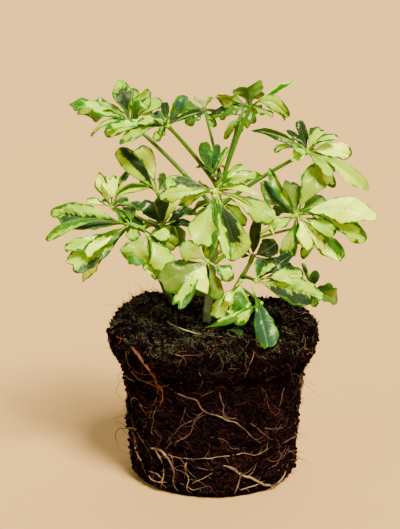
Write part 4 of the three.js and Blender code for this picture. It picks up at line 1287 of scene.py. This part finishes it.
        "from": ("branch", 109), "hub": (15, -24, 120), "facing": (0, -0.85, 0.5), "petiole": 0.9,
        "leaflets": [
            (262, 24, 20, 13, "creamCentre", dict(none="sag twist point", bend=0.05, fold=0.1, cup=-0.35,
                broadest=0.9, lobe=0.1)),
            (231, 8, 26, 10, "pale", dict(none="bend sag", up=0.9, cup=-0.3, lobe=0.3)),
            (262, -6, 24, 7, "creamRim", dict(none="sag", up=0.6)),
        ],
    },
    "rim": {
        "from": ("edge", 101), "hub": (57.5, 18, 104), "facing": (0.3, -0.6, 0.7), "petiole": 0.8,
        "stalk": "stalkGreen",
        "leaflets": [
            (22, 5, 13, 6, "olive", dict(up=0.4)),
            (-16, 0, 17, 9.5, "olivePale", dict(up=0.4, point=0.5, lobe=0.4)), (-75, 15, 9, 5, "lime"),
            (80, -10, 13, 5, "oliveDark", dict(up=0.4)), (110, 0, 18, 3, "creamDark"),
        ],
    },
    "right_behind": {
        "from": ("main", 131), "hub": (61.5, 25, 142.7), "facing": (0.3, 0.2, 0.9), "petiole": 0.9,
        "petioleTint": "stalkLime",
        "leaflets": [
            (62, 10, 16, 8, "lime", dict(up=0.6)), (248, 15, 22, 7, "oliveCream", dict(up=0.5)),
            (278, 5, 19, 7, "lightLime", dict(up=0.5)), (20, -50, 20, 9, "olive"),
            (150, -60, 22, 9, "creamCentre"),
        ],
    },
    "behind": {
        "from": ("main", 140), "hub": (4, 34, 156), "facing": (0, 0.6, 0.8), "petiole": 1,
        "leaflets": [
            (200, -10, 22, 10, "oliveDark"), (235, -20, 24, 11, "creamPatch"),
            (270, -30, 24, 11, "oliveCream"), (305, -20, 24, 11, "creamRim"), (340, -10, 22, 10, "olive"),
            (150, -50, 24, 10, "creamCentre"), (60, -55, 25, 11, "creamPatch"),
            (265, -8, 29, 6, "dark", dict(none="sag")),
        ],
    },
    "behind_left": {
        "from": ("left", 124), "hub": (-24, 30, 143), "facing": (0, 0.6, 0.8), "petiole": 0.9,
        "leaflets": [
            (190, -25, 20, 9, "olive"), (230, -30, 22, 10, "creamRim"), (290, -35, 20, 10, "oliveDark"),
            (20, -20, 16, 8, "olive"), (80, -60, 22, 9, "creamPatch"), (140, -45, 22, 9, "cream"),
        ],
    },
}

# What all leaflets share. Lengths are shares of a leaflet's length or half width unless in millimetres.
# The outline is control points, along and half width. Lobes and jags are the size of lumps along it.
blade = {
    "outline": [(0.07, 0.07), (0.2, 0.02), (0.4, 0.62), (0.6, 1.42), (0.99, 1.25), (1.0, 0.0)],
    "rows": 44, "columns": (0, 0.06, 0.16, 0.3, 0.46, 0.62, 0.78, 0.91, 1), "hub": 2.1,
    "rootShare": 0.45, "thickness": 0.4, "stalk": (0.58, 0.12), "full": 1.32, "lobes": 0.24,
    "jags": 0.075, "ripple": (0.1, 19), "groove": 0.14, "veinGap": 1.7, "veinSlant": 0.75,
    "ribDepth": 0.26,
}
# What each leaflet draws for itself, from low to high: its arch out of its face, bend to one side,
# droop into its back, sag to the ground and twist, its fold along the rib and how that waves, its cup,
# how far its tip stands before its corners (below 0 where it is notched), how pointed it is, where it
# is broadest, and how deep its lobes and jags are. A draw's number is its place here and firstDraw.
drawn = {
    "arch": (-0.02, 0.14), "bend": (-0.14, 0.14), "droop": (-0.02, 0.2), "sag": (0.0, 0.1),
    "twist": (-0.8, 0.8), "fold": (0.05, 0.6), "wave": (0.18, 0.55), "waveRate": (5, 11),
    "cup": (-0.35, 0.15), "roll": (0, 0), "tip": (0.0, 0.07), "point": (0.0, 0.55),
    "broadest": (0.8, 1.3), "lobe": (0.14, 0.42), "jag": (0.05, 0.16),
}
firstDraw, drawGap = 8, 17


# A leaflet's own form: a draw from each range, unless its row says otherwise.
def leafletForm(options, seed):
    form = {
        trait: low + (high - low) * float(draw(seed + drawGap * number))
        for number, (trait, (low, high)) in enumerate(drawn.items(), firstDraw)
    }
    form.update({trait: 0 for trait in options.get("none", "").split()})
    form.update(options)
    return form


# The outline of half a leaflet: a Bezier curve through its control points, along and half width,
# with the width brought to 1 at its broadest.
def bladeOutline(rows):
    t = np.linspace(0, 1, rows)[:, None]
    order = len(blade["outline"]) - 1
    weights = [math.comb(order, k) * t ** k * (1 - t) ** (order - k) for k in range(order + 1)]
    along, half = sum(weight * np.array(point) for weight, point in zip(weights, blade["outline"])).T
    return along, np.maximum(half / half.max(), 0.03)


# The outline of each side: the common one, with its broadest place moved by a power, drawn in towards
# a pointed tip, swollen into lobes by noise along it, and cut in by bell curves where asked.
def bladeSides(share, half, sign, seed, form):
    half = np.interp(share ** form["broadest"], share, half)
    half = half * (1 - form["point"] * np.clip(2 * share - 1, 0, 1) ** 1.4)
    half = half[:, None] * np.ones(len(sign))
    ends = easeStep(share, 0.15, 0.5)[:, None] * easeStep(share, 1.0, 0.92)[:, None]
    for size, height in ((blade["lobes"], form["lobe"]), (blade["jags"], form["jag"])):
        spots = np.stack(np.broadcast_arrays(share[:, None] / size, sign * 5.3, seed * 1.7), axis=-1)
        half = half * (1 + height * ends * lumps(spots, 1.0, 2))
    for at, side, depth, spread in form.get("cuts", ()):
        half = half * (1 - depth * np.exp(-((share[:, None] - at) / spread) ** 2) * (sign * side > 0))
    return half


# The rib leaves the hub along the leaflet's bearing, bends to one side as u^2, bows as the parabola
# 4u(1 - u), and droops and sags as u^3.
def ribLine(hub, along, face, length, u, form):
    rib = along * u + np.cross(along, face) * form["bend"] * u ** 2
    rib = rib + face * (form["arch"] * 4 * u * (1 - u) - form["droop"] * u ** 3)
    return hub + length * (rib - np.array([0, 0, form["sag"]]) * u ** 3)


# Directions at each point of the rib: onward along it, and across and outward, square to it and
# turned about it as u^2.
def ribDirections(rib, face, twist, u):
    onward = unit(np.gradient(rib, axis=0))
    across = unit(np.cross(onward, face))
    outward = np.cross(across, onward)
    turn = twist * u ** 2
    turned = across * np.cos(turn) + outward * np.sin(turn)
    return onward, turned, outward * np.cos(turn) - across * np.sin(turn)


# The middle of a blade. Across the rib stands a section that folds up from it by an angle that waves
# along it, cups as the square, ripples, and has a groove over the rib. A bell curve at the tip moves
# the rib's end back, which notches it.
def bladeMiddle(rib, directions, length, width, u, y, share, sign, seed, form):
    onward, across, outward = directions
    notch = (max(0.0, -form["tip"]) * 1.15 + 0.02) * np.exp(-(y / 0.3) ** 2)
    notch = notch * easeStep(share, 0.6, 1)[:, None]
    phase = 6 * draw(seed + sign)
    fold = form["fold"] + form["wave"] * np.sin(form["waveRate"] * u + phase) * easeStep(u, 0.1, 0.6)
    rippleHeight, rippleRate = blade["ripple"]
    ripple = rippleHeight * np.sin(rippleRate * u + 2 * phase)
    lift = np.abs(y) * np.sin(fold) + (form["cup"] + ripple) * y ** 2
    groove = blade["groove"] * min(1, width / 10) * np.exp(-(y / 0.1) ** 2)
    groove = groove * easeStep(share, 0.05, 0.3)[:, None]
    return (
        rib[:, None] - onward[:, None] * (length * notch)[..., None]
        + across[:, None] * (y * np.cos(fold) * width / 2)[..., None]
        + outward[:, None] * (lift * width / 2 - groove)[..., None]
    )


# How far each place on a blade is from its edge: the product of the ways to the side and to the tip
# over the root of the sum of their squares.
def edgeDistance(share, half, y, length, width):
    side = np.abs(y)
    tipSide = np.argmax(half[:, 0])
    reachAlong = np.interp(side, half[tipSide:, 0][::-1], share[tipSide:][::-1])
    toTip = np.maximum((reachAlong - share[:, None]) * length, 0) + 1e-3
    toSide = (half - side) * width / 2 + 1e-3
    return toTip * toSide / np.hypot(toTip, toSide)


# Upper side and underside one after the other, as the rings of a tube.
def ringed(upper, under):
    return np.concatenate([upper, under[:, ::-1]], axis=1)


# One leaflet: its blade as rings that go over the upper side and back under it, with the values that
# its finish reads, and its stalk, which runs on under the blade as a rib.
def addLeaflet(shape, hub, facing, row, seed, stalkTint):
    bearing, lean, length, width, look = row[:5]
    width = width * blade["full"]
    form = leafletForm(row[5] if len(row) > 5 else {}, seed)
    hub = np.array(hub) + form.get("shift", (0, 0, 0))
    bearing, lean, roll = (math.radians(angle) for angle in (bearing, lean, form["roll"]))
    along = np.array([
        math.cos(bearing) * math.cos(lean), -math.sin(lean), math.sin(bearing) * math.cos(lean)])
    facing = (0, -1, form["up"]) if "up" in form else form.get("face", facing)
    face = unit(np.array(facing) - along * np.dot(facing, along))
    face = face * math.cos(roll) + np.cross(along, face) * math.sin(roll)
    share, half = bladeOutline(blade["rows"])
    steps = np.array(blade["columns"])
    v = np.concatenate([-steps[:0:-1], steps])
    sign = np.sign(v)
    half = bladeSides(share, half, sign, seed, form)
    y = v * half
    rootAt = blade["rootShare"] * blade["hub"] / length
    u = rootAt + (1 - rootAt) * share[:, None]
    rib = ribLine(hub, along, face, length, u, form)
    directions = ribDirections(rib, face, form["twist"], u)
    outward = directions[2]
    middle = bladeMiddle(rib, directions, length, width, u, y, share, sign, seed, form)
    thick = blade["thickness"] / 2 * (1 - 0.6 * v ** 4)
    wall = outward[:, None] * thick[:, None]

    edge = edgeDistance(share, half, y, length, width)
    vein = (length * u - blade["veinSlant"] * np.abs(y) * width / 2) / blade["veinGap"]
    look = looks[look]
    at = look.get("at", (0.5, 0, 1, 1))
    patch = 1 - np.hypot((u - at[0]) / at[2], (y - at[1]) / at[3]) if "patch" in look else 0 * y - 9.0
    field = np.stack([patch, edge, vein], axis=-1)
    below = ringed(0 * y, 0 * y + 1)
    place = np.stack([ringed(y, y), np.full_like(below, seed % 97), below], axis=-1)
    rimTint = (*tints[look.get("rimTint", "leafGreen")][:3], look.get("rim", 0.0))
    shape.addTubes(
        ringed(middle + wall, middle - wall), bladeField=ringed(field, field), bladePlace=place,
        ground=tints[look["ground"]], patchTint=tints[look.get("patch", "dark")], rimTint=rimTint,
    )
    rows = slice(0, blade["rows"] - 3, 2)
    line = np.vstack([hub, middle[rows, len(steps) - 1] - outward[rows] * blade["ribDepth"]])
    thick = np.linspace(*blade["stalk"], len(line)) * min(1, 0.35 + width / 18)
    addStalk(shape, line, thick, 6, face, stalkTint)


# A round part of a leaf, without veins or patches.
def addStalk(shape, line, radii, sides, up, tint):
    shape.addTubes(
        tube(line, radii, sides, up), bladeField=(-9.0, 9.0, 0.5), bladePlace=(0.0, 0.0, -1.0),
        ground=tints[tint], patchTint=tints[tint], rimTint=(*tints[tint][:3], 0.0),
    )


# A petiole's bow as a share of its length, its radius at foot and top against the leaf's, how much it
# swells at the stem and the hub and over how many millimetres, and the hub's radius.
petiole = {
    "bow": 0.06, "taper": (1.1, 0.9), "steps": 40, "sides": 12, "sheath": (0.55, 3.5),
    "collar": (0.35, 2.5), "knob": 1.45,
}


# A leaf: its petiole bows from the stem to the hub as a quadratic curve and swells at both ends as a
# bell curve, the hub is a slightly flat ball, and the leaflets stand round it.
def leafPiece(name, leaf, seed):
    shape, sides = Shape(), petiole["sides"]
    hub = np.array(leaf["hub"], float)
    start = stemPoint(*leaf["from"])
    stalkTint = leaf.get("stalk", "stalkLime")
    t = np.linspace(0, 1, petiole["steps"])[:, None]
    control = (start + hub) / 2
    control[2] += np.linalg.norm(hub - start) * petiole["bow"]
    line = (1 - t) ** 2 * start + 2 * t * (1 - t) * control + t ** 2 * hub
    foot, top = petiole["taper"]
    radii = leaf["petiole"] * (foot + (top - foot) * t[:, 0])
    swelling = 1
    for end, (height, reach) in ((start, petiole["sheath"]), (hub, petiole["collar"])):
        swelling = swelling + height * np.exp(-(np.linalg.norm(line - end, axis=1) / reach) ** 2)
    radii = radii * swelling
    addStalk(shape, line, radii, sides, (0.1, -1, 0.2), leaf.get("petioleTint", "stalkGreen"))
    facing = unit(np.array(leaf["facing"], float))
    s = np.linspace(-0.97, 0.97, 9)
    knob = petiole["knob"] * leaf["petiole"]
    middle = hub + facing * (0.8 * knob * s)[:, None]
    addStalk(shape, middle, knob * np.sqrt(1 - s ** 2), sides, (0.3, 0.2, 0.9), stalkTint)
    for i, row in enumerate(leaf["leaflets"]):
        addLeaflet(shape, hub, leaf["facing"], row, seed + 3 * i, stalkTint)
    return shape.made(f"leaf_{name}_fine")


skin = {
    "fixed": {
        "Specular IOR Level": 0.36, "Specular Tint": tone(240, 255, 170), "Subsurface Weight": 0.25,
        "Subsurface Radius": (0.4, 1.0, 0.15), "Subsurface Scale": 0.0015,
    },
    "lush": (0.42, 0.72, 0.14, 1), "brighter": (1.1, 1.25, 1.0, 1), "vein": tone(196, 220, 60),
    "under": tone(96, 134, 30), "speck": tone(96, 84, 40),
}


# Leaves: a patch whose jagged edge follows the veins, a broken rim, pale rib and veins, soft mottling,
# brown specks and a duller underside, all from the values kept on each leaflet.
def leafFinish():
    leaf = Finish("leafSkin", skin["fixed"])
    place = leaf.place()
    patch, edge, vein = leaf.parts(leaf.kept("bladeField", "Vector"))
    across, seed, below = leaf.parts(leaf.kept("bladePlace", "Vector"))
    ground, patchTint = leaf.kept("ground", "Color"), leaf.kept("patchTint", "Color")
    rimTint, rim = leaf.kept("rimTint", "Color"), leaf.kept("rimTint", "Alpha")
    onBlade = leaf.rise(below, -0.6, -0.4)
    under = leaf.rise(below, 0.4, 0.6)
    fingers = leaf.noise(leaf.joined(vein * 0.7, across * 1.2, seed * 3.1), 1.0, 4.0, 0.6)
    grain = leaf.noise(place, 1100)
    soft = leaf.noise(place, 130)

    lush = leaf.mixed(1.0, ground, skin["lush"], "MULTIPLY")
    colour = leaf.mixed(leaf.rise(soft, 0.42, 0.72) * 0.45, ground, lush)
    streaks = leaf.rise(fingers + (soft - 0.5) * 0.6, 0.56, 0.7)
    colour = leaf.mixed(streaks * 0.7 * onBlade, colour, lush)
    ragged = patch + ((fingers - 0.5) * 1.5 + (grain - 0.5) * 0.2)
    colour = leaf.mixed(leaf.rise(ragged, -0.3, -0.18) * 0.75, colour, leaf.mixed(0.5, lush, patchTint))
    mask = leaf.rise(ragged, -0.02, 0.05)
    inner = leaf.mixed(leaf.rise(soft, 0.4, 0.65) * 0.5, patchTint, skin["brighter"], "MULTIPLY")
    colour = leaf.mixed(mask, colour, inner)
    broken = leaf.noise(leaf.joined(vein * 0.35, across * 0.6, seed * 5.7), 1.0)
    rimEdge = rim * (9.0 * (broken - 0.5) + 0.9) - edge
    halfRim = leaf.mixed(0.5, lush, rimTint)
    colour = leaf.mixed(leaf.rise(rimEdge, -0.9, 0.1) * 0.55 * onBlade, colour, halfRim)
    colour = leaf.mixed(leaf.rise(rimEdge, -0.08, 0.1) * onBlade, colour, rimTint)

    line = leaf.maths("ABSOLUTE", leaf.maths("FRACT", vein) - 0.5)
    veins = (1 - leaf.rise(line, 0.02, 0.12)) * leaf.rise(edge, 0.2, 1.2) * onBlade
    rib = (1 - leaf.rise(leaf.maths("ABSOLUTE", across), 0.02, 0.07)) * onBlade
    lighter = leaf.mixed(0.45, colour, skin["vein"])
    colour = leaf.mixed(veins * (0.07 - 0.05 * mask), colour, lighter)
    colour = leaf.mixed(rib * (0.18 - 0.13 * mask), colour, lighter)
    colour = leaf.mixed(under * 0.3, colour, skin["under"])
    specks = leaf.spots(place, 620, 0.76, 0.8, 1.0) * onBlade
    colour = leaf.mixed(specks * 0.5, colour, skin["speck"])
    crinkles = leaf.noise(place, 330, 2.0)
    height = soft * 1.5 + crinkles * 0.1 - 0.12 * veins - 0.2 * rib + 0.03 * grain
    leaf.dress({
        "Base Color": colour, "Roughness": 0.22 + 0.14 * soft + 0.2 * under + 0.18 * mask,
        "Normal": leaf.bumped(height, 0.0009, 0.75),
    })
    return leaf


leafSkin = leafFinish()
for number, (name, leaf) in enumerate(leaves.items()):
    settle(leafPiece(name, leaf, 50 * number), leafSkin, "leaf", f"leaf_{name}")

# Fallen on the moss: a pale green twig and a small dark leaf. Places seen from above, in millimetres.
fallen = {
    "twig": [(-26.4, -13.4), (-22.5, -23), (-17.7, -30.5), (-12.5, -34.6), (-7.7, -36.7)],
    "twigSteps": 40, "twigRadius": (0.75, 0.4), "twigLift": 0.9, "twigWaver": (0.5, 0.5, 0.2),
    "twigTones": (tone(74, 84, 34), tone(150, 168, 84)), "twigGloss": 0.4,
    "leaf": (7, -33.5), "leafLift": 1.4, "leafFacing": (0, -0.2, 1), "leafSeed": 7,
    "leafRow": (3, 24, 10, 4.6, "dark", dict(none="sag", fold=0.3, droop=0.1)),
}


# The top's surface at places seen from above.
def onTop(places, lift):
    x, y = np.asarray(places, float).T
    return np.stack([x, y, ball["height"] + topRelief(x, y) + lift], axis=-1)


# The twig: a smooth line on the moss that wavers, knobbly and thinner towards its end.
def fallenTwig():
    steps = fallen["twigSteps"]
    line = smoothLine(onTop(fallen["twig"], fallen["twigLift"]), steps)
    line = line + wobble(line, 4, 6, 7, 8) * fallen["twigWaver"]
    radius = np.linspace(*fallen["twigRadius"], steps) * (1 + 0.25 * lumps(line, 2.5, 9))
    rings = tube(line, radius, 10, up=(0.3, 0.1, 1))
    return tubePiece("fallenTwig", rings, shade=0.5 + 0.5 * lumps(line, 3, 5)[:, None])


settle(fallenTwig(), shadedFinish("twigGreen", *fallen["twigTones"], fallen["twigGloss"]), "stem")
shape = Shape()
foot = onTop([fallen["leaf"]], fallen["leafLift"])[0]
addLeaflet(shape, foot, fallen["leafFacing"], fallen["leafRow"], fallen["leafSeed"], "stalkGreen")
settle(shape.made("fallenLeaf"), leafSkin, "leaf")

# The stems as pieces: what each is made of, its bark and its node.
leftBark = stemFinish("leftBark")
stemPieces = {
    "mainStem": (("main", "branch"), stemFinish("mainBark"), "main_stem"),
    "leftStem": (("left",), leftBark, "left_stem"),
    "edgeShoot": (("edge",), leftBark, "edge_shoot"),
}
for name, (parts, bark, node) in stemPieces.items():
    shape = Shape()
    for part in parts:
        addStem(shape, part, [leaf["from"][1] for leaf in leaves.values() if leaf["from"][0] == part])
    settle(shape.made(name), bark, "stem", node)

# Floor: a wide pale disc under the ball.
floor = {"reach": 14.0, "sides": 96, "tone": tone(194, 150, 82), "roughness": 0.9}
angle = evenAngles(floor["sides"])
rim = np.stack([np.cos(angle), np.sin(angle), 0 * angle], axis=-1) * floor["reach"]
mesh = bpy.data.meshes.new("floor")
mesh.from_pydata(rim.tolist(), [], [tuple(range(floor["sides"]))])
disc = bpy.data.objects.new("floor", mesh)
bpy.context.scene.collection.objects.link(disc)
paper = Finish("paper", {"Base Color": floor["tone"], "Roughness": floor["roughness"]})
disc.data.materials.append(paper.material)

# Light: wide soft suns, the key from the upper right before the plant, a weaker one from the left, one
# from above behind, and an even sky. Each has its bearing round the plant, its height, and its width,
# in degrees.
lights = {
    "key": {"bearing": 26, "height": 50, "power": 12.0, "width": 18, "tone": tone(255, 250, 236)},
    "fill": {"bearing": -50, "height": 25, "power": 1.3, "width": 60, "tone": tone(250, 250, 224)},
    "back": {"bearing": 170, "height": 55, "power": 1.6, "width": 50, "tone": tone(255, 250, 240)},
}
skyLight = {"Color": tone(242, 240, 224), "Strength": 0.24}
for name, light in lights.items():
    lamp = bpy.data.objects.new(name, bpy.data.lights.new(name, "SUN"))
    lamp.data.energy = light["power"]
    lamp.data.angle = math.radians(light["width"])
    lamp.data.color = light["tone"][:3]
    lamp.rotation_euler = (math.radians(90 - light["height"]), 0, math.radians(light["bearing"]))
    bpy.context.scene.collection.objects.link(lamp)
sky = bpy.data.worlds.new("sky")
sky.use_nodes = True
for socket, value in skyLight.items():
    sky.node_tree.nodes["Background"].inputs[socket].default_value = value
bpy.context.scene.world = sky
print("floor and light are set")
